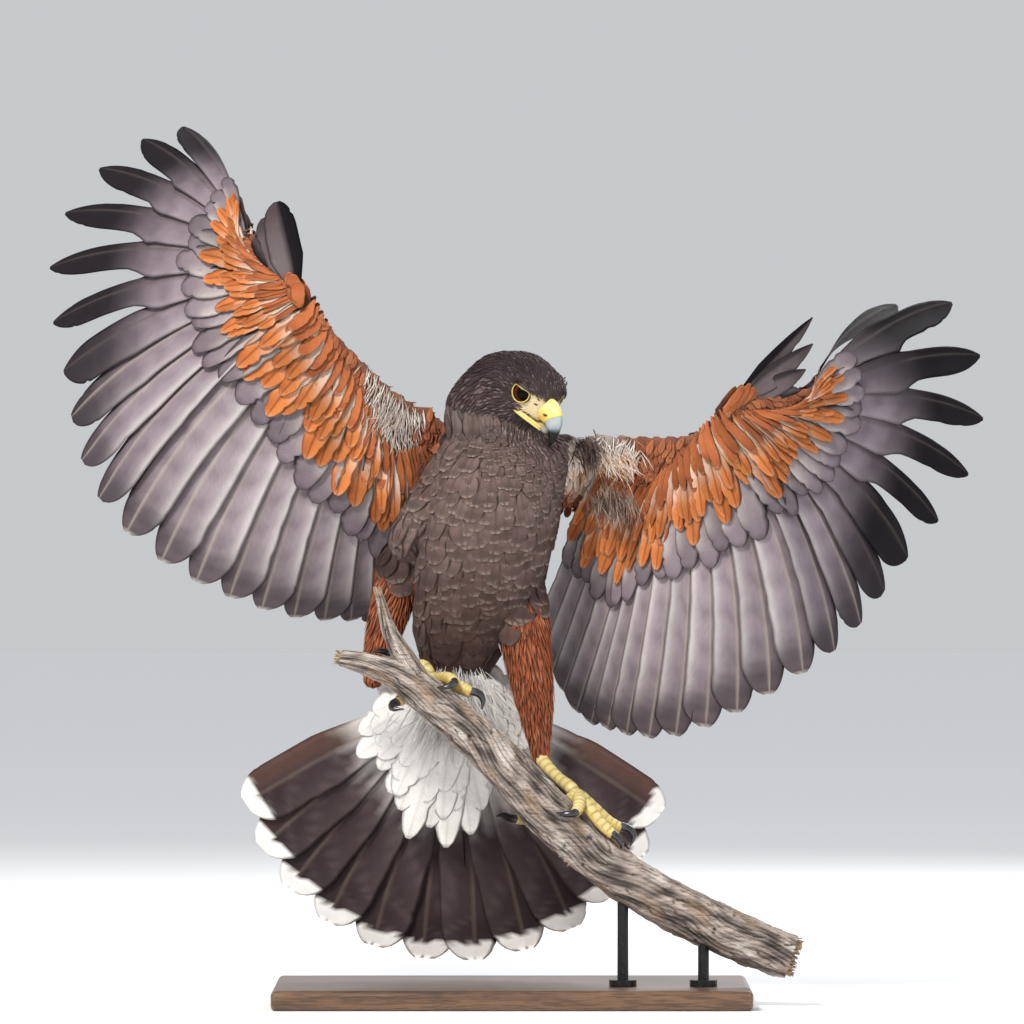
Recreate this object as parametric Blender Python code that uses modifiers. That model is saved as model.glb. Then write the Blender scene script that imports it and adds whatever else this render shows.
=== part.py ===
"""A Harris's hawk with raised wings and a fanned tail, gripping a short cut branch on a display stand.

Life size, a still model. Millimetres are turned into metres by MM. +Z is up, +X is the viewer's
right when the bird faces the viewer, and +Y points away from the viewer, so the breast faces -Y.
The origin is the centre of the stand's underside. "right" and "left" are the bird's own sides.
"""

import math

import bmesh
import bpy
import numpy as np
from mathutils import Matrix, Vector

MM = 0.001
GAP = 0.3
FLAT_ANGLE = math.radians(0.2)
VANE_THICKNESS = 0.62
VANE_CLEARANCE = 2.3
VANE_OVERLAP = 1.22

# Stand
BASE_SIZE = (380.0, 270.0, 16.0)
BASE_EDGE_ROUNDING = 4.0
ROD_RADIUS = 4.5
ROD_FOOT_RADIUS = 11.0
ROD_FOOT_HEIGHT = 5.0
RODS_AT_X = (88.0, 152.0)

# Head, in its own frame: +X towards the bill, +Y to the bird's left, +Z to the crown
HEAD_CENTRE = (16.5, -24.0, 489.0)
HEAD_YAW_DEG = 40.0
HEAD_PITCH_DEG = 30.0
EYE_RADIUS = 9.0
EYE_PLACE = (8.5, 17.0, 4.0)

# Wings: indices 0 to 12 are the secondaries from the body out, 13 to 22 the primaries
FEATHERS_PER_WING = 23
FIRST_PRIMARY = 13
WRIST_INDEX = 12.5

WINGS = {
    "right": {
        "bones": {0: (-74, 38, 441), 3.5: (-96, 34, 433), 12.5: (-168, 0, 557), 22: (-212, 28, 610)},
        "edge": {
            0: (-60, 16, 478), 4: (-92, 10, 494), 8: (-130, 2, 528), 12.5: (-170, -5, 570),
            22: (-206, 20, 616),
        },
        # index: direction seen from the front (degrees), sweep away from the viewer (degrees), length (mm)
        "fan": {
            0: (-96, 44, 126), 4: (-96, 23, 148), 8: (-111, 6, 194), 12: (-130, 7, 228),
            16: (-159, 31, 225), 19: (-195, 46, 250), 22: (-240, 53, 188),
        },
        "shoulder": ((-26, 14, 462), (-34, 26, 432)),
        "alula_root": (-172, -4, 572),
        "alula_fan": (104, 12, 84),
        "alula_step_deg": 11,
    },
    "left": {
        "bones": {0: (75, 38, 420), 3.5: (106, 34, 402), 12.5: (173, 0, 466), 22: (237, 36, 485)},
        "edge": {
            0: (64, 16, 458), 4: (108, 10, 458), 8: (150, 2, 459), 12.5: (177, -4, 480), 22: (234, 29, 495),
        },
        "fan": {
            0: (-110, 30, 172), 4: (-104, 16, 197), 8: (-92, 5, 222), 12: (-72, 9, 212),
            16: (-43, 36, 212), 19: (-3, 49, 260), 21: (32, 51, 246), 22: (45, 55, 192),
        },
        "shoulder": ((26, 14, 456), (32, 30, 420)),
        "alula_root": (178, -4, 484),
        "alula_fan": (48, 22, 98),
        "alula_step_deg": -9,
    },
}

# Tail
TAIL_FEATHERS = 12
TAIL_ROOT = (-45.0, 30.0, 252.0)
TAIL_SPREAD_DEG = (-61.0, 58.0)
TAIL_LENGTH = 226.0
TAIL_OUTER_SHORTER = 32.0
TAIL_BACK_DEG = 11.0

# Branch: centre line and radius from the stub at the upper left to the sawn end
BRANCH = [
    (-136, -52, 277, 6.5), (-112, -54, 271, 9.0), (-88, -56, 262, 12.5), (-64, -58, 244, 14.5),
    (-36, -59, 220, 15.5), (-8, -60, 194, 17.0), (26, -60, 156, 19.0), (62, -61, 124, 19.0),
    (100, -61, 96, 18.5), (150, -61, 69, 19.0), (200, -60, 47, 18.0), (222, -60, 39.5, 17.5),
]
BRANCH_FORK = [(-70, -58, 250, 10.0), (-84, -57, 274, 9.0), (-97, -56, 298, 6.0), (-106, -56, 328, 3.0)]

# Torso and neck: level oval sections (x, y, z, half width, half depth), top first for the torso
TORSO = [
    (-7, 17, 460, 32, 24), (-6, 10, 447, 53, 41), (-9, 4, 424, 57, 52), (-16, 3, 388, 57, 57),
    (-23, 6, 354, 56, 55), (-30, 12, 322, 52, 48), (-39, 18, 294, 42, 38), (-43, 24, 270, 30, 27),
    (-45, 28, 252, 20, 18),
]
NECK = [
    (-7, 8, 450, 47, 37), (-11, 3, 468, 46, 38), (-13, -2, 484, 43, 37), (-10, -5, 498, 37, 33),
    (-6, -7, 509, 29, 26), (-4, -8, 516, 18, 16),
]

# Skull, in the head's frame: place along it, half width, half height, height of the centre
SKULL = [
    (-41, 10, 11, -5), (-36, 19, 20, -4), (-25, 25, 26, -2), (-11, 26.5, 27.5, -1),
    (3, 25.5, 25.5, 0), (13, 21.5, 21, -1), (20, 16.5, 16.5, -2.5), (25, 12, 12.5, -4),
]
# Bill, in the head's frame: x, z, tilt down in degrees, half width, half height
UPPER_BILL = [
    (20, -3.0, 5, 10.0, 10.0), (26, -3.0, 10, 9.5, 10.4), (31.5, -4.6, 24, 8.4, 10.0),
    (36, -8.2, 42, 7.0, 8.8), (38.6, -13.2, 62, 5.4, 6.6), (39.8, -18.6, 78, 3.8, 4.5),
    (39.9, -24, 92, 2.2, 2.6), (39.0, -28.8, 100, 0.7, 0.8),
]
LOWER_BILL = [
    (13, -15.6, 6, 8.6, 3.4), (20, -16.4, 8, 8.0, 3.4), (26, -17.4, 10, 6.4, 3.0),
    (31, -18.9, 14, 4.0, 2.3),
    (34, -20.0, 18, 1.6, 1.2),
]

# Wing flesh and feathers
CORE_REACH_ARM = 34.0
CORE_REACH_TIP = 9.0
ARM_STATIONS = (0, 2, 4, 6, 8, 10.5, 12.488)
HAND_STATIONS = (12.515, 14, 16, 18, 20, 23)
FEATHER_DROOP = 0.055
FEATHER_SWEEP = 0.045
FLIGHT_STATIONS = (0.01, 0.3, 0.6, 0.86, 0.97, 1.0)
# Covert tiers: face (1 under, -1 upper), first and last index, count, start past the bone, length, width,
# lift off the flight feathers at the root and at the tip
COVERT_TIERS = {
    "arm": [
        (1, 0.3, 12.1, 8, 5, 80, 30, 3.4, 7.4),
        (1, 0.3, 12.1, 7, -7, 56, 32, 4.6, 12.6),
        (-1, 0.3, 12.1, 8, 5, 84, 32, 3.4, 8.0),
    ],
    "hand": [
        (1, 13.3, 20.3, 6, 5, 80, 28, 3.0, 7.4),
        (1, 13.3, 20.1, 5, 4, 50, 28, 4.2, 12.0),
        (-1, 13.3, 20.3, 6, 5, 86, 28, 3.0, 7.8),
    ],
}
COVERT_STATIONS = (0.0, 0.4, 0.8, 1.0)
ALULA_LENGTHS = (1.0, 0.88, 0.72, 0.54)
ALULA_WIDTH = 19.0

# Tail vanes and undertail coverts
TAIL_STATIONS = (0.035, 0.35, 0.75, 0.97, 1.0)
TAIL_WIDTH = 45.0
TAIL_LAYER = 1.5
TAIL_ROLL_SHARE = 0.4
COVERTS_ROOT = (-45.0, 13.5, 262.0)
# Direction from straight down (degrees, towards the viewer's right): length of the long and short tier (mm)
COVERTS_FAN = {
    -46: (92, 58), -30: (118, 74), -15: (128, 80), 0: (136, 84), 15: (106, 66), 30: (84, 52), 50: (66, 42),
}
COVERTS_BACK_DEG = 8.0
# Tiers of undertail coverts: count, width, lift off the tail at the root (mm)
UNDERTAIL_TIERS = ((9, 28, 2.0), (6, 30, 5.5))
UNDERTAIL_START = 13.0
UNDERTAIL_REACH_DEG = (-46.0, 50.0)

# Legs and feet
THIGHS = {
    "right": [
        (-58, 28, 378, 24), (-84, 30, 352, 24), (-97, 30, 316, 19), (-106, 26, 284, 15), (-112, 18, 254, 9),
    ],
    "left": [
        (0, 14, 338, 27), (8, 4, 306, 24), (12, 0, 280, 21.5), (18, -5, 242, 17.5), (22, -9, 206, 10.5),
        (24, -12, 190, 7),
    ],
}
TARSI = {
    "right": [(-111, 17, 262, 5.2), (-104, 4, 263, 4.4), (-88, -17, 267, 4.2), (-71, -34, 270, 5.0)],
    "left": [(20, -6, 200, 5.4), (27, -18, 191, 4.8), (37, -36, 181, 4.4), (47, -52, 173, 5.2)],
}
# Each toe and claw runs over the branch: (x along it, turn from its top towards the viewer in degrees,
# height over the bark, radius)
TOES = {
    "right": {
        "inner": [(-70, -48, 7, 5.0), (-66, -22, 7, 4.6), (-63, -2, 8, 4.4), (-61, 12, 8, 4.0)],
        "middle": [(-70, -50, 7, 5.0), (-62, -34, 8, 5.0), (-55, -20, 9, 4.8), (-50, -12, 9.5, 4.4)],
        "outer": [(-72, -54, 7, 4.6), (-82, -52, 7, 4.4), (-92, -46, 7, 4.2), (-100, -40, 6, 3.8)],
        "hind": [(-72, -62, 7, 5.2), (-76, -90, 6, 5.2), (-79, -125, 5, 4.8), (-80, -152, 5, 4.2)],
    },
    "left": {
        "inner": [(36, 0, 7, 5.2), (38, 22, 6.5, 5.0), (40, 40, 6, 4.4), (40.5, 50, 6, 4.0)],
        "middle": [(36, -4, 7, 6.0), (47, -6, 7.5, 5.4), (58, -7, 7.5, 5.0), (68, -6, 9, 4.6)],
        "outer": [(36, 2, 7, 5.4), (46, 16, 6, 4.8), (56, 24, 5, 4.4), (66, 28, 5, 4.0)],
        "hind": [(34, -30, 6, 5.4), (31, -70, 6, 5.2), (26, -115, 5, 4.8), (20, -150, 5, 4.2)],
    },
}
CLAWS = {
    "right": {
        "inner": [(-61.5, 8, 8.5, 3.4), (-60, 24, 9, 3.0), (-62, 40, 5, 2.0), (-65, 47, 1.2, 0.5)],
        "middle": [(-52, -14, 9, 3.6), (-45, -10, 13, 3.2), (-40, -10, 11, 2.2), (-37, -12, 5, 0.5)],
        "outer": [(-98, -41, 6, 3.2), (-105, -36, 7, 2.8), (-111, -28, 5, 1.9), (-113, -20, 1.6, 0.5)],
        "hind": [(-79.5, -148, 5.5, 3.8), (-82, -166, 9, 3.4), (-80, -182, 11, 2.4), (-74, -192, 6, 0.5)],
    },
    "left": {
        "inner": [(40.5, 46, 6, 3.6), (40, 58, 7, 3.2), (36, 70, 5, 2.2), (32, 76, 1.2, 0.5)],
        "middle": [(66, -6, 9, 3.8), (73, -5, 13, 3.4), (79, -4, 11, 2.4), (81, -2, 3, 0.5)],
        "outer": [(64, 28, 5, 3.4), (70, 31, 6.5, 3.0), (75, 35, 5, 2.0), (77, 38, 1.2, 0.5)],
        "hind": [(21, -147, 5, 3.8), (16.5, -162, 8, 3.4), (13, -176, 9, 2.4), (11, -188, 14, 0.5)],
    },
}

PARTS = None
HELPERS = None


def clear_scene():
    for obj in list(bpy.data.objects):
        bpy.data.objects.remove(obj)


def make_collections():
    global PARTS, HELPERS
    PARTS = bpy.data.collections.new("harris_hawk")
    HELPERS = bpy.data.collections.new("cutters")
    bpy.context.scene.collection.children.link(PARTS)
    bpy.context.scene.collection.children.link(HELPERS)


def paint(name, colour, roughness, metallic=0.0):
    material = bpy.data.materials.new(name)
    material.use_nodes = True
    shader = material.node_tree.nodes["Principled BSDF"]
    shader.inputs["Base Color"].default_value = (*colour, 1.0)
    shader.inputs["Roughness"].default_value = roughness
    shader.inputs["Metallic"].default_value = metallic
    return material


def smooth_at(keys, x):
    """A smooth curve through the keyed values, read at x."""
    places = sorted(keys)
    values = [Vector(keys[p]) for p in places]
    if x <= places[0]:
        return values[0] + (values[1] - values[0]) * ((x - places[0]) / (places[1] - places[0]))
    if x >= places[-1]:
        return values[-1] + (values[-1] - values[-2]) * ((x - places[-1]) / (places[-1] - places[-2]))
    k = max(j for j in range(len(places) - 1) if places[j] <= x)

    def slope(j):
        if j in (0, len(places) - 1):
            a, b = (0, 1) if j == 0 else (j - 1, j)
        else:
            a, b = j - 1, j + 1
        return (values[b] - values[a]) / (places[b] - places[a])

    span = places[k + 1] - places[k]
    t = (x - places[k]) / span
    return (
        values[k] * (2 * t**3 - 3 * t**2 + 1)
        + slope(k) * (span * (t**3 - 2 * t**2 + t))
        + values[k + 1] * (3 * t**2 - 2 * t**3)
        + slope(k + 1) * (span * (t**3 - t**2))
    )


def mesh_object(name, bm, collection):
    bmesh.ops.recalc_face_normals(bm, faces=bm.faces)
    mesh = bpy.data.meshes.new(name)
    bm.to_mesh(mesh)
    bm.free()
    obj = bpy.data.objects.new(name, mesh)
    collection.objects.link(obj)
    return obj


def loft(name, rings, collection=None, mirrored_split=False, folded_ends=False):
    """A closed solid through rings of equally many points, in millimetres.

    mirrored_split cuts the two faces of a thin form alike. folded_ends closes rings of an odd number of
    points in flat strips from their first point, for sections that bend on the way.
    """
    bm = bmesh.new()
    loops = [[bm.verts.new(Vector(p) * MM) for p in ring] for ring in rings]
    count = len(loops[0])
    for a, b in zip(loops, loops[1:]):
        for k in range(count):
            m = (k + 1) % count
            if mirrored_split and k >= count // 2:
                bm.faces.new((a[k], a[m], b[k]))
                bm.faces.new((a[m], b[m], b[k]))
            else:
                bm.faces.new((a[k], a[m], b[m]))
                bm.faces.new((a[k], b[m], b[k]))
    for end in (loops[0], loops[-1]):
        if folded_ends:
            bm.faces.new((end[0], end[1], end[-1]))
            for k in range(1, count // 2):
                bm.faces.new((end[k], end[k + 1], end[count - k - 1], end[count - k]))
        else:
            bm.faces.new(end)
    return mesh_object(name, bm, collection or PARTS)


def oval(centre, across, up, half_width, half_height, count, power=2.0):
    """Points of a rounded oval, squarer for a higher power."""
    points = []
    for k in range(count):
        angle = 2 * math.pi * k / count
        c, s = math.cos(angle), math.sin(angle)
        c = math.copysign(abs(c) ** (2 / power), c)
        s = math.copysign(abs(s) ** (2 / power), s)
        points.append(Vector(centre) + across * (half_width * c) + up * (half_height * s))
    return points


def level_loft(name, stations, count, grow=0.0, collection=None):
    """A form of level oval sections: (x, y, z, half width, half depth). grow swells it by that much."""
    across, back = Vector((1, 0, 0)), Vector((0, 1, 0))
    rings = []
    last = len(stations) - 1
    for k, (x, y, z, half_width, half_depth) in enumerate(stations):
        lift = grow * ((k == 0) - (k == last)) * math.copysign(1, stations[0][2] - stations[-1][2])
        width, depth = half_width + grow, half_depth + grow
        rings.append(oval((x, y, z + lift), across, back, width, depth, count, 2.15))
    return loft(name, rings, collection)


def path_loft(name, stations, count, grow=0.0, collection=None, roughness=0.0, seed=0):
    """A round tube of changing radius along a path: (x, y, z, radius)."""
    centres = [Vector(s[:3]) for s in stations]
    random = np.random.default_rng(seed)
    uneven = random.uniform(1 - roughness, 1 + roughness, (len(stations), count))
    rings = []
    side = None
    for k, centre in enumerate(centres):
        ahead = centres[min(k + 1, len(centres) - 1)]
        behind = centres[max(k - 1, 0)]
        tangent = (ahead - behind).normalized()
        if side is None:
            side = tangent.orthogonal().normalized()
        side = (side - tangent * side.dot(tangent)).normalized()
        up = tangent.cross(side)
        ring = []
        for m in range(count):
            angle = 2 * math.pi * m / count
            radius = stations[k][3] * uneven[k][m] + grow
            ring.append(centre + (side * math.cos(angle) + up * math.sin(angle)) * radius)
        rings.append(ring)
    if grow:
        first = (centres[0] - centres[1]).normalized() * grow
        end = (centres[-1] - centres[-2]).normalized() * grow
        rings[0] = [p + first for p in rings[0]]
        rings[-1] = [p + end for p in rings[-1]]
    return loft(name, rings, collection)


def ball(name, centre, radii, segments=12, rings=8, matrix=None, collection=None):
    bm = bmesh.new()
    bmesh.ops.create_uvsphere(bm, u_segments=segments, v_segments=rings, radius=1.0)
    shape = Matrix.Diagonal((*[r * MM for r in radii], 1.0))
    shape = Matrix.Translation(Vector(centre) * MM) @ shape
    bmesh.ops.transform(bm, matrix=(matrix or Matrix.Identity(4)) @ shape, verts=bm.verts)
    return mesh_object(name, bm, collection or PARTS)


def boolean(obj, operation, others, solver="EXACT"):
    """Joins or cuts obj with a collection of closed meshes, applies the result and removes them."""
    if not others:
        return obj
    group = bpy.data.collections.new(obj.name + "_tools")
    HELPERS.children.link(group)
    for other in others:
        for owner in list(other.users_collection):
            owner.objects.unlink(other)
        group.objects.link(other)
        other.hide_render = True
        other.display_type = "WIRE"
    modifier = obj.modifiers.new(operation.lower(), "BOOLEAN")
    modifier.operation = operation
    modifier.operand_type = "COLLECTION"
    modifier.collection = group
    modifier.solver = solver
    graph = bpy.context.evaluated_depsgraph_get()
    graph.update()
    made = bpy.data.meshes.new_from_object(obj.evaluated_get(graph))
    obj.modifiers.clear()
    obj.data = made
    for other in others:
        bpy.data.objects.remove(other)
    bpy.data.collections.remove(group)
    return obj


def keep_largest(obj):
    """Keeps only the closed surface with the greatest volume, as triangles."""
    bm = bmesh.new()
    bm.from_mesh(obj.data)
    bmesh.ops.dissolve_limit(bm, angle_limit=FLAT_ANGLE, verts=bm.verts, edges=bm.edges)
    bmesh.ops.triangulate(bm, faces=bm.faces)
    unseen = set(bm.faces)
    shells = []
    while unseen:
        stack = [unseen.pop()]
        shell = set(stack)
        while stack:
            for edge in stack.pop().edges:
                if len(edge.link_faces) > 2:
                    continue
                for face in edge.link_faces:
                    if face in unseen:
                        unseen.remove(face)
                        shell.add(face)
                        stack.append(face)
        volume = 0.0
        for face in shell:
            a, b, c = (v.co for v in face.verts)
            volume += a.dot(b.cross(c)) / 6
        shells.append((volume, shell))
    shells.sort(key=lambda item: -item[0])
    dropped = [face for _, shell in shells[1:] for face in shell]
    bmesh.ops.delete(bm, geom=dropped, context="FACES")
    loose = [v for v in bm.verts if not v.link_faces]
    bmesh.ops.delete(bm, geom=loose, context="VERTS")
    bm.to_mesh(obj.data)
    bm.free()


def finish(obj, material):
    """Sets a node's one material and its smooth shading."""
    obj.data.materials.clear()
    obj.data.materials.append(material)
    obj.data.shade_smooth()
    obj.data.set_sharp_from_angle(angle=math.radians(40))
    print(obj.name, len(obj.data.polygons))
    return obj


# Torso, neck and head


def torso(name="torso", grow=0.0, collection=None):
    return level_loft(name, TORSO, 18, grow, collection)


def neck(name="neck", grow=0.0, collection=None):
    return level_loft(name, NECK, 16, grow, collection)


def head_matrix():
    """The head's own frame in the world: yawed to the bird's left and pitched down."""
    yaw, pitch = math.radians(HEAD_YAW_DEG), math.radians(HEAD_PITCH_DEG)
    ahead = Vector((math.sin(yaw) * math.cos(pitch), -math.cos(yaw) * math.cos(pitch), -math.sin(pitch)))
    left = Vector((math.cos(yaw), math.sin(yaw), 0))
    up = ahead.cross(left)
    turn = Matrix((ahead, left, up)).transposed().to_4x4()
    return Matrix.Translation(Vector(HEAD_CENTRE) * MM) @ turn


def head_loft(name, stations, count, grow=0.0, collection=None, power=2.1):
    """A form of upright sections in the head's own frame."""
    across, up = Vector((0, 1, 0)), Vector((0, 0, 1))
    rings = []
    for k, (x, half_width, half_height, height) in enumerate(stations):
        push = grow * ((k == len(stations) - 1) - (k == 0))
        width, tall = half_width + grow, half_height + grow
        rings.append(oval((x + push, 0, height), across, up, width, tall, count, power))
    obj = loft(name, rings, collection)
    obj.data.transform(head_matrix())
    return obj


def curved_loft(name, stations, count, collection=None, grow=0.0):
    """A bill form in the head's frame: (x, z, tilt down in degrees, half width, half height)."""
    across = Vector((0, 1, 0))
    rings = []
    for x, z, tilt, half_width, half_height in stations:
        lean = math.radians(tilt)
        up = Vector((math.sin(lean), 0, math.cos(lean)))
        rings.append(oval((x, 0, z), across, up, half_width + grow, half_height + grow, count, 2.0))
    obj = loft(name, rings, collection)
    obj.data.transform(head_matrix())
    return obj


def eye(name, side, radius, collection=None):
    x, y, z = EYE_PLACE
    return ball(name, (x, side * y, z), (radius,) * 3, 12, 8, head_matrix(), collection)


def eyelid(side):
    """The rim round the eye, a ring that the eye fills."""
    x, y, z = EYE_PLACE
    outward = Vector((0.24, side, 0.06)).normalized()
    rim_centre = Vector((x, side * y, z)) + outward * (EYE_RADIUS * 0.62)
    first = outward.cross(Vector((0, 0, 1))).normalized()
    second = outward.cross(first)
    curve_radius, rim_radius, around, section = EYE_RADIUS * 0.84, 1.5, 12, 5
    bm = bmesh.new()
    loops = []
    for k in range(around):
        angle = 2 * math.pi * k / around
        spoke = first * math.cos(angle) + second * math.sin(angle)
        centre = rim_centre + spoke * curve_radius
        loop = []
        for m in range(section):
            turn = 2 * math.pi * m / section
            point = centre + (spoke * math.cos(turn) + outward * math.sin(turn)) * rim_radius
            loop.append(bm.verts.new(point * MM))
        loops.append(loop)
    for k in range(around):
        a, b = loops[k], loops[(k + 1) % around]
        for m in range(section):
            n = (m + 1) % section
            bm.faces.new((a[m], a[n], b[n], b[m]))
    bmesh.ops.transform(bm, matrix=head_matrix(), verts=bm.verts)
    return mesh_object("eyelid", bm, HELPERS)


def brow(side):
    """The bony ridge over the eye, from the bill's base back past the eye."""
    stations = [
        (22, side * 11.5, 4.5, 2.2), (16, side * 18.2, 9.6, 3.2), (8, side * 20.8, 12.0, 3.8),
        (-2, side * 21.8, 12.6, 4.0), (-12, side * 21.0, 11.5, 2.6),
    ]
    obj = path_loft("brow", stations, 6, collection=HELPERS)
    obj.data.transform(head_matrix())
    return obj


def make_head(skin, bill_paint, eye_paint):
    skull = head_loft("head", SKULL, 14)
    boolean(skull, "UNION", [brow(1), brow(-1), eyelid(1), eyelid(-1)])
    sockets = [eye("socket", s, EYE_RADIUS + GAP, HELPERS) for s in (1, -1)]
    bill_seat = curved_loft("bill_seat", UPPER_BILL, 12, HELPERS, GAP)
    jaw_seat = curved_loft("jaw_seat", LOWER_BILL, 10, HELPERS, GAP)
    mouth = ball("mouth_line", (15.0, 0, -13.0), (11.5, 30, 0.5), 10, 4, head_matrix(), HELPERS)
    boolean(skull, "DIFFERENCE", sockets + [bill_seat, jaw_seat, mouth])
    keep_largest(skull)
    finish(skull, skin)
    upper = curved_loft("bill_upper", UPPER_BILL, 12)
    nostrils = [
        ball("nostril", (28.5, side * 8.6, -3.2), (1.9, 2.2, 1.3), 8, 6, head_matrix(), HELPERS)
        for side in (1, -1)
    ]
    boolean(upper, "DIFFERENCE", nostrils)
    finish(upper, bill_paint)
    lower = curved_loft("bill_lower", LOWER_BILL, 10)
    boolean(lower, "DIFFERENCE", [curved_loft("upper_seat", UPPER_BILL, 12, HELPERS, GAP)])
    keep_largest(lower)
    finish(lower, bill_paint)
    for side, word in ((1, "left"), (-1, "right")):
        finish(eye("eye_" + word, side, EYE_RADIUS), eye_paint)


def make_body(skin):
    trunk = torso()
    finish(trunk, skin)
    collar = neck()
    head_cut = head_loft("head_cut", SKULL, 14, GAP, HELPERS)
    boolean(collar, "DIFFERENCE", [torso("torso_cut", GAP, HELPERS), head_cut])
    keep_largest(collar)
    finish(collar, skin)


# Wings

def bone_point(wing, i):
    places = sorted(wing["bones"])
    for low, high in zip(places, places[1:]):
        if i <= high or high == places[-1]:
            a, b = Vector(wing["bones"][low]), Vector(wing["bones"][high])
            return a + (b - a) * ((i - low) / (high - low))


def swept(front_deg, sweep_deg):
    """A unit direction seen at an angle from the front and swept away from the viewer."""
    front, sweep = math.radians(front_deg), math.radians(sweep_deg)
    return Vector((math.cos(front) * math.cos(sweep), math.sin(sweep), math.sin(front) * math.cos(sweep)))


def hanging(turn_deg, lean):
    """A unit direction turned from straight down towards the viewer's right, in a plane that leans back."""
    turn = math.radians(turn_deg)
    return Vector((math.sin(turn), math.cos(turn) * math.sin(lean), -math.cos(turn) * math.cos(lean)))


def ray(wing, i):
    """Root, direction and length of the flight feather at index i, which may lie between two feathers."""
    front, sweep, length = smooth_at(wing["fan"], i)
    return bone_point(wing, i), swept(front, sweep), length


def chord_point(wing, i, s):
    root, direction, length = ray(wing, i)
    return root + direction * (length * s)


def wing_normal(wing, i, s=0.6):
    """Unit normal of the feather fan on its underside, which faces the viewer."""
    span = chord_point(wing, i + 0.5, s) - chord_point(wing, i - 0.5, s)
    normal = span.cross(ray(wing, i)[1]).normalized()
    return normal if normal.y < 0 else -normal


def shaft_point(wing, i, s):
    """A point on the curved shaft line of the feather at index i."""
    root, direction, length = ray(wing, i)
    normal = wing_normal(wing, i)
    lead = direction.cross(normal)
    if lead.dot(chord_point(wing, i + 0.5, 0.6) - chord_point(wing, i - 0.5, 0.6)) < 0:
        lead = -lead
    bow = 4 * s * (1 - s) if 0 < s < 1 else 0.0
    bend = normal * FEATHER_DROOP + lead * FEATHER_SWEEP
    return root + direction * (length * s) + bend * (length * bow)


def fan_frame(wing, i, s):
    """At share s of feather i: the fan's normal on its underside, the way to the leading edge, and the
    distance between neighbouring shafts."""
    direction = ray(wing, i)[1]
    across = shaft_point(wing, i + 0.5, s) - shaft_point(wing, i - 0.5, s)
    across -= direction * across.dot(direction)
    normal = direction.cross(across).normalized()
    return normal if normal.y < 0 else -normal, across.normalized(), across.length


def louvre_deg(spacing):
    """How far a vane is turned about its shaft, so that neighbours this far apart lie clear."""
    return math.degrees(math.asin(min(0.5, VANE_CLEARANCE / max(spacing, 0.1))))


def vane(name, line, normal_at, widths, roll_at, grow=0.0, collection=None):
    """A thin feather vane along a line of points. widths gives (leading, trailing) at each station."""
    rings = []
    count = len(line)
    half = VANE_THICKNESS / 2 + grow
    for k, point in enumerate(line):
        ahead, behind = line[min(k + 1, count - 1)], line[max(k - 1, 0)]
        tangent = (ahead - behind).normalized()
        normal = normal_at(k)
        normal = (normal - tangent * normal.dot(tangent)).normalized()
        lead = widths[k][2]
        lead = (lead - tangent * lead.dot(tangent) - normal * lead.dot(normal)).normalized()
        roll = math.radians(roll_at(k))
        edge = lead * math.cos(roll) - normal * math.sin(roll)
        face = normal * math.cos(roll) + lead * math.sin(roll)
        push = tangent * (grow * ((k == count - 1) - (k == 0)))
        front = point + edge * (widths[k][0] + grow) + push
        rear = point - edge * (widths[k][1] + grow) + push
        rings.append([front + face * half, rear + face * half, rear - face * half, front - face * half])
    return loft(name, rings, collection or HELPERS, mirrored_split=True)


def flight_width(i, s):
    """Full width of a flight feather at share s of its length."""
    primary = i >= FIRST_PRIMARY
    full = 40.0 if primary else 37.0
    if i < 4:
        full = 27.0 + 2.5 * i
    width = full
    if i >= 17:
        finger = 26.0
        fall = min(1.0, max(0.0, (s - 0.42) / 0.16))
        width += (finger - full) * fall * fall * (3 - 2 * fall) if s > 0.42 else 0.0
    start = 0.86
    if s > start:
        width *= math.sqrt(max(0.03, 1 - ((s - start) / (1.02 - start)) ** 2))
    return width


def flight_feather(wing, i, grow=0.0):
    lead_share = 0.26 if i >= FIRST_PRIMARY else 0.36
    line, widths, rolls, normals = [], [], [], []
    for s in FLIGHT_STATIONS:
        normal, across, spacing = fan_frame(wing, i, s)
        full = min(flight_width(i, s), VANE_OVERLAP * spacing)
        line.append(shaft_point(wing, i, s))
        widths.append((full * lead_share, full * (1 - lead_share), across))
        rolls.append(louvre_deg(spacing))
        normals.append(normal)
    return vane("flight", line, lambda k: normals[k], widths, lambda k: rolls[k], grow)


def covert(wing, tier, k, grow=0.0):
    face, first, last, count, start, length, width, lift_root, lift_tip = tier
    step = (last - first) / (count - 1)
    i = first + step * k
    line, widths, rolls, normals = [], [], [], []
    for s in COVERT_STATIONS:
        place = (start + length * s) / ray(wing, i)[2]
        normal, across, spacing = fan_frame(wing, i, place)
        lift = face * (lift_root + (lift_tip - lift_root) * s)
        full = min(width, VANE_OVERLAP * spacing * step) * (0.4 if s == 1 else 1.0)
        line.append(shaft_point(wing, i, place) + normal * lift)
        widths.append((full * 0.45, full * 0.55, across))
        rolls.append(louvre_deg(spacing * step))
        normals.append(normal)
    return vane("covert", line, lambda j: normals[j], widths, lambda j: rolls[j], grow)


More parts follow.
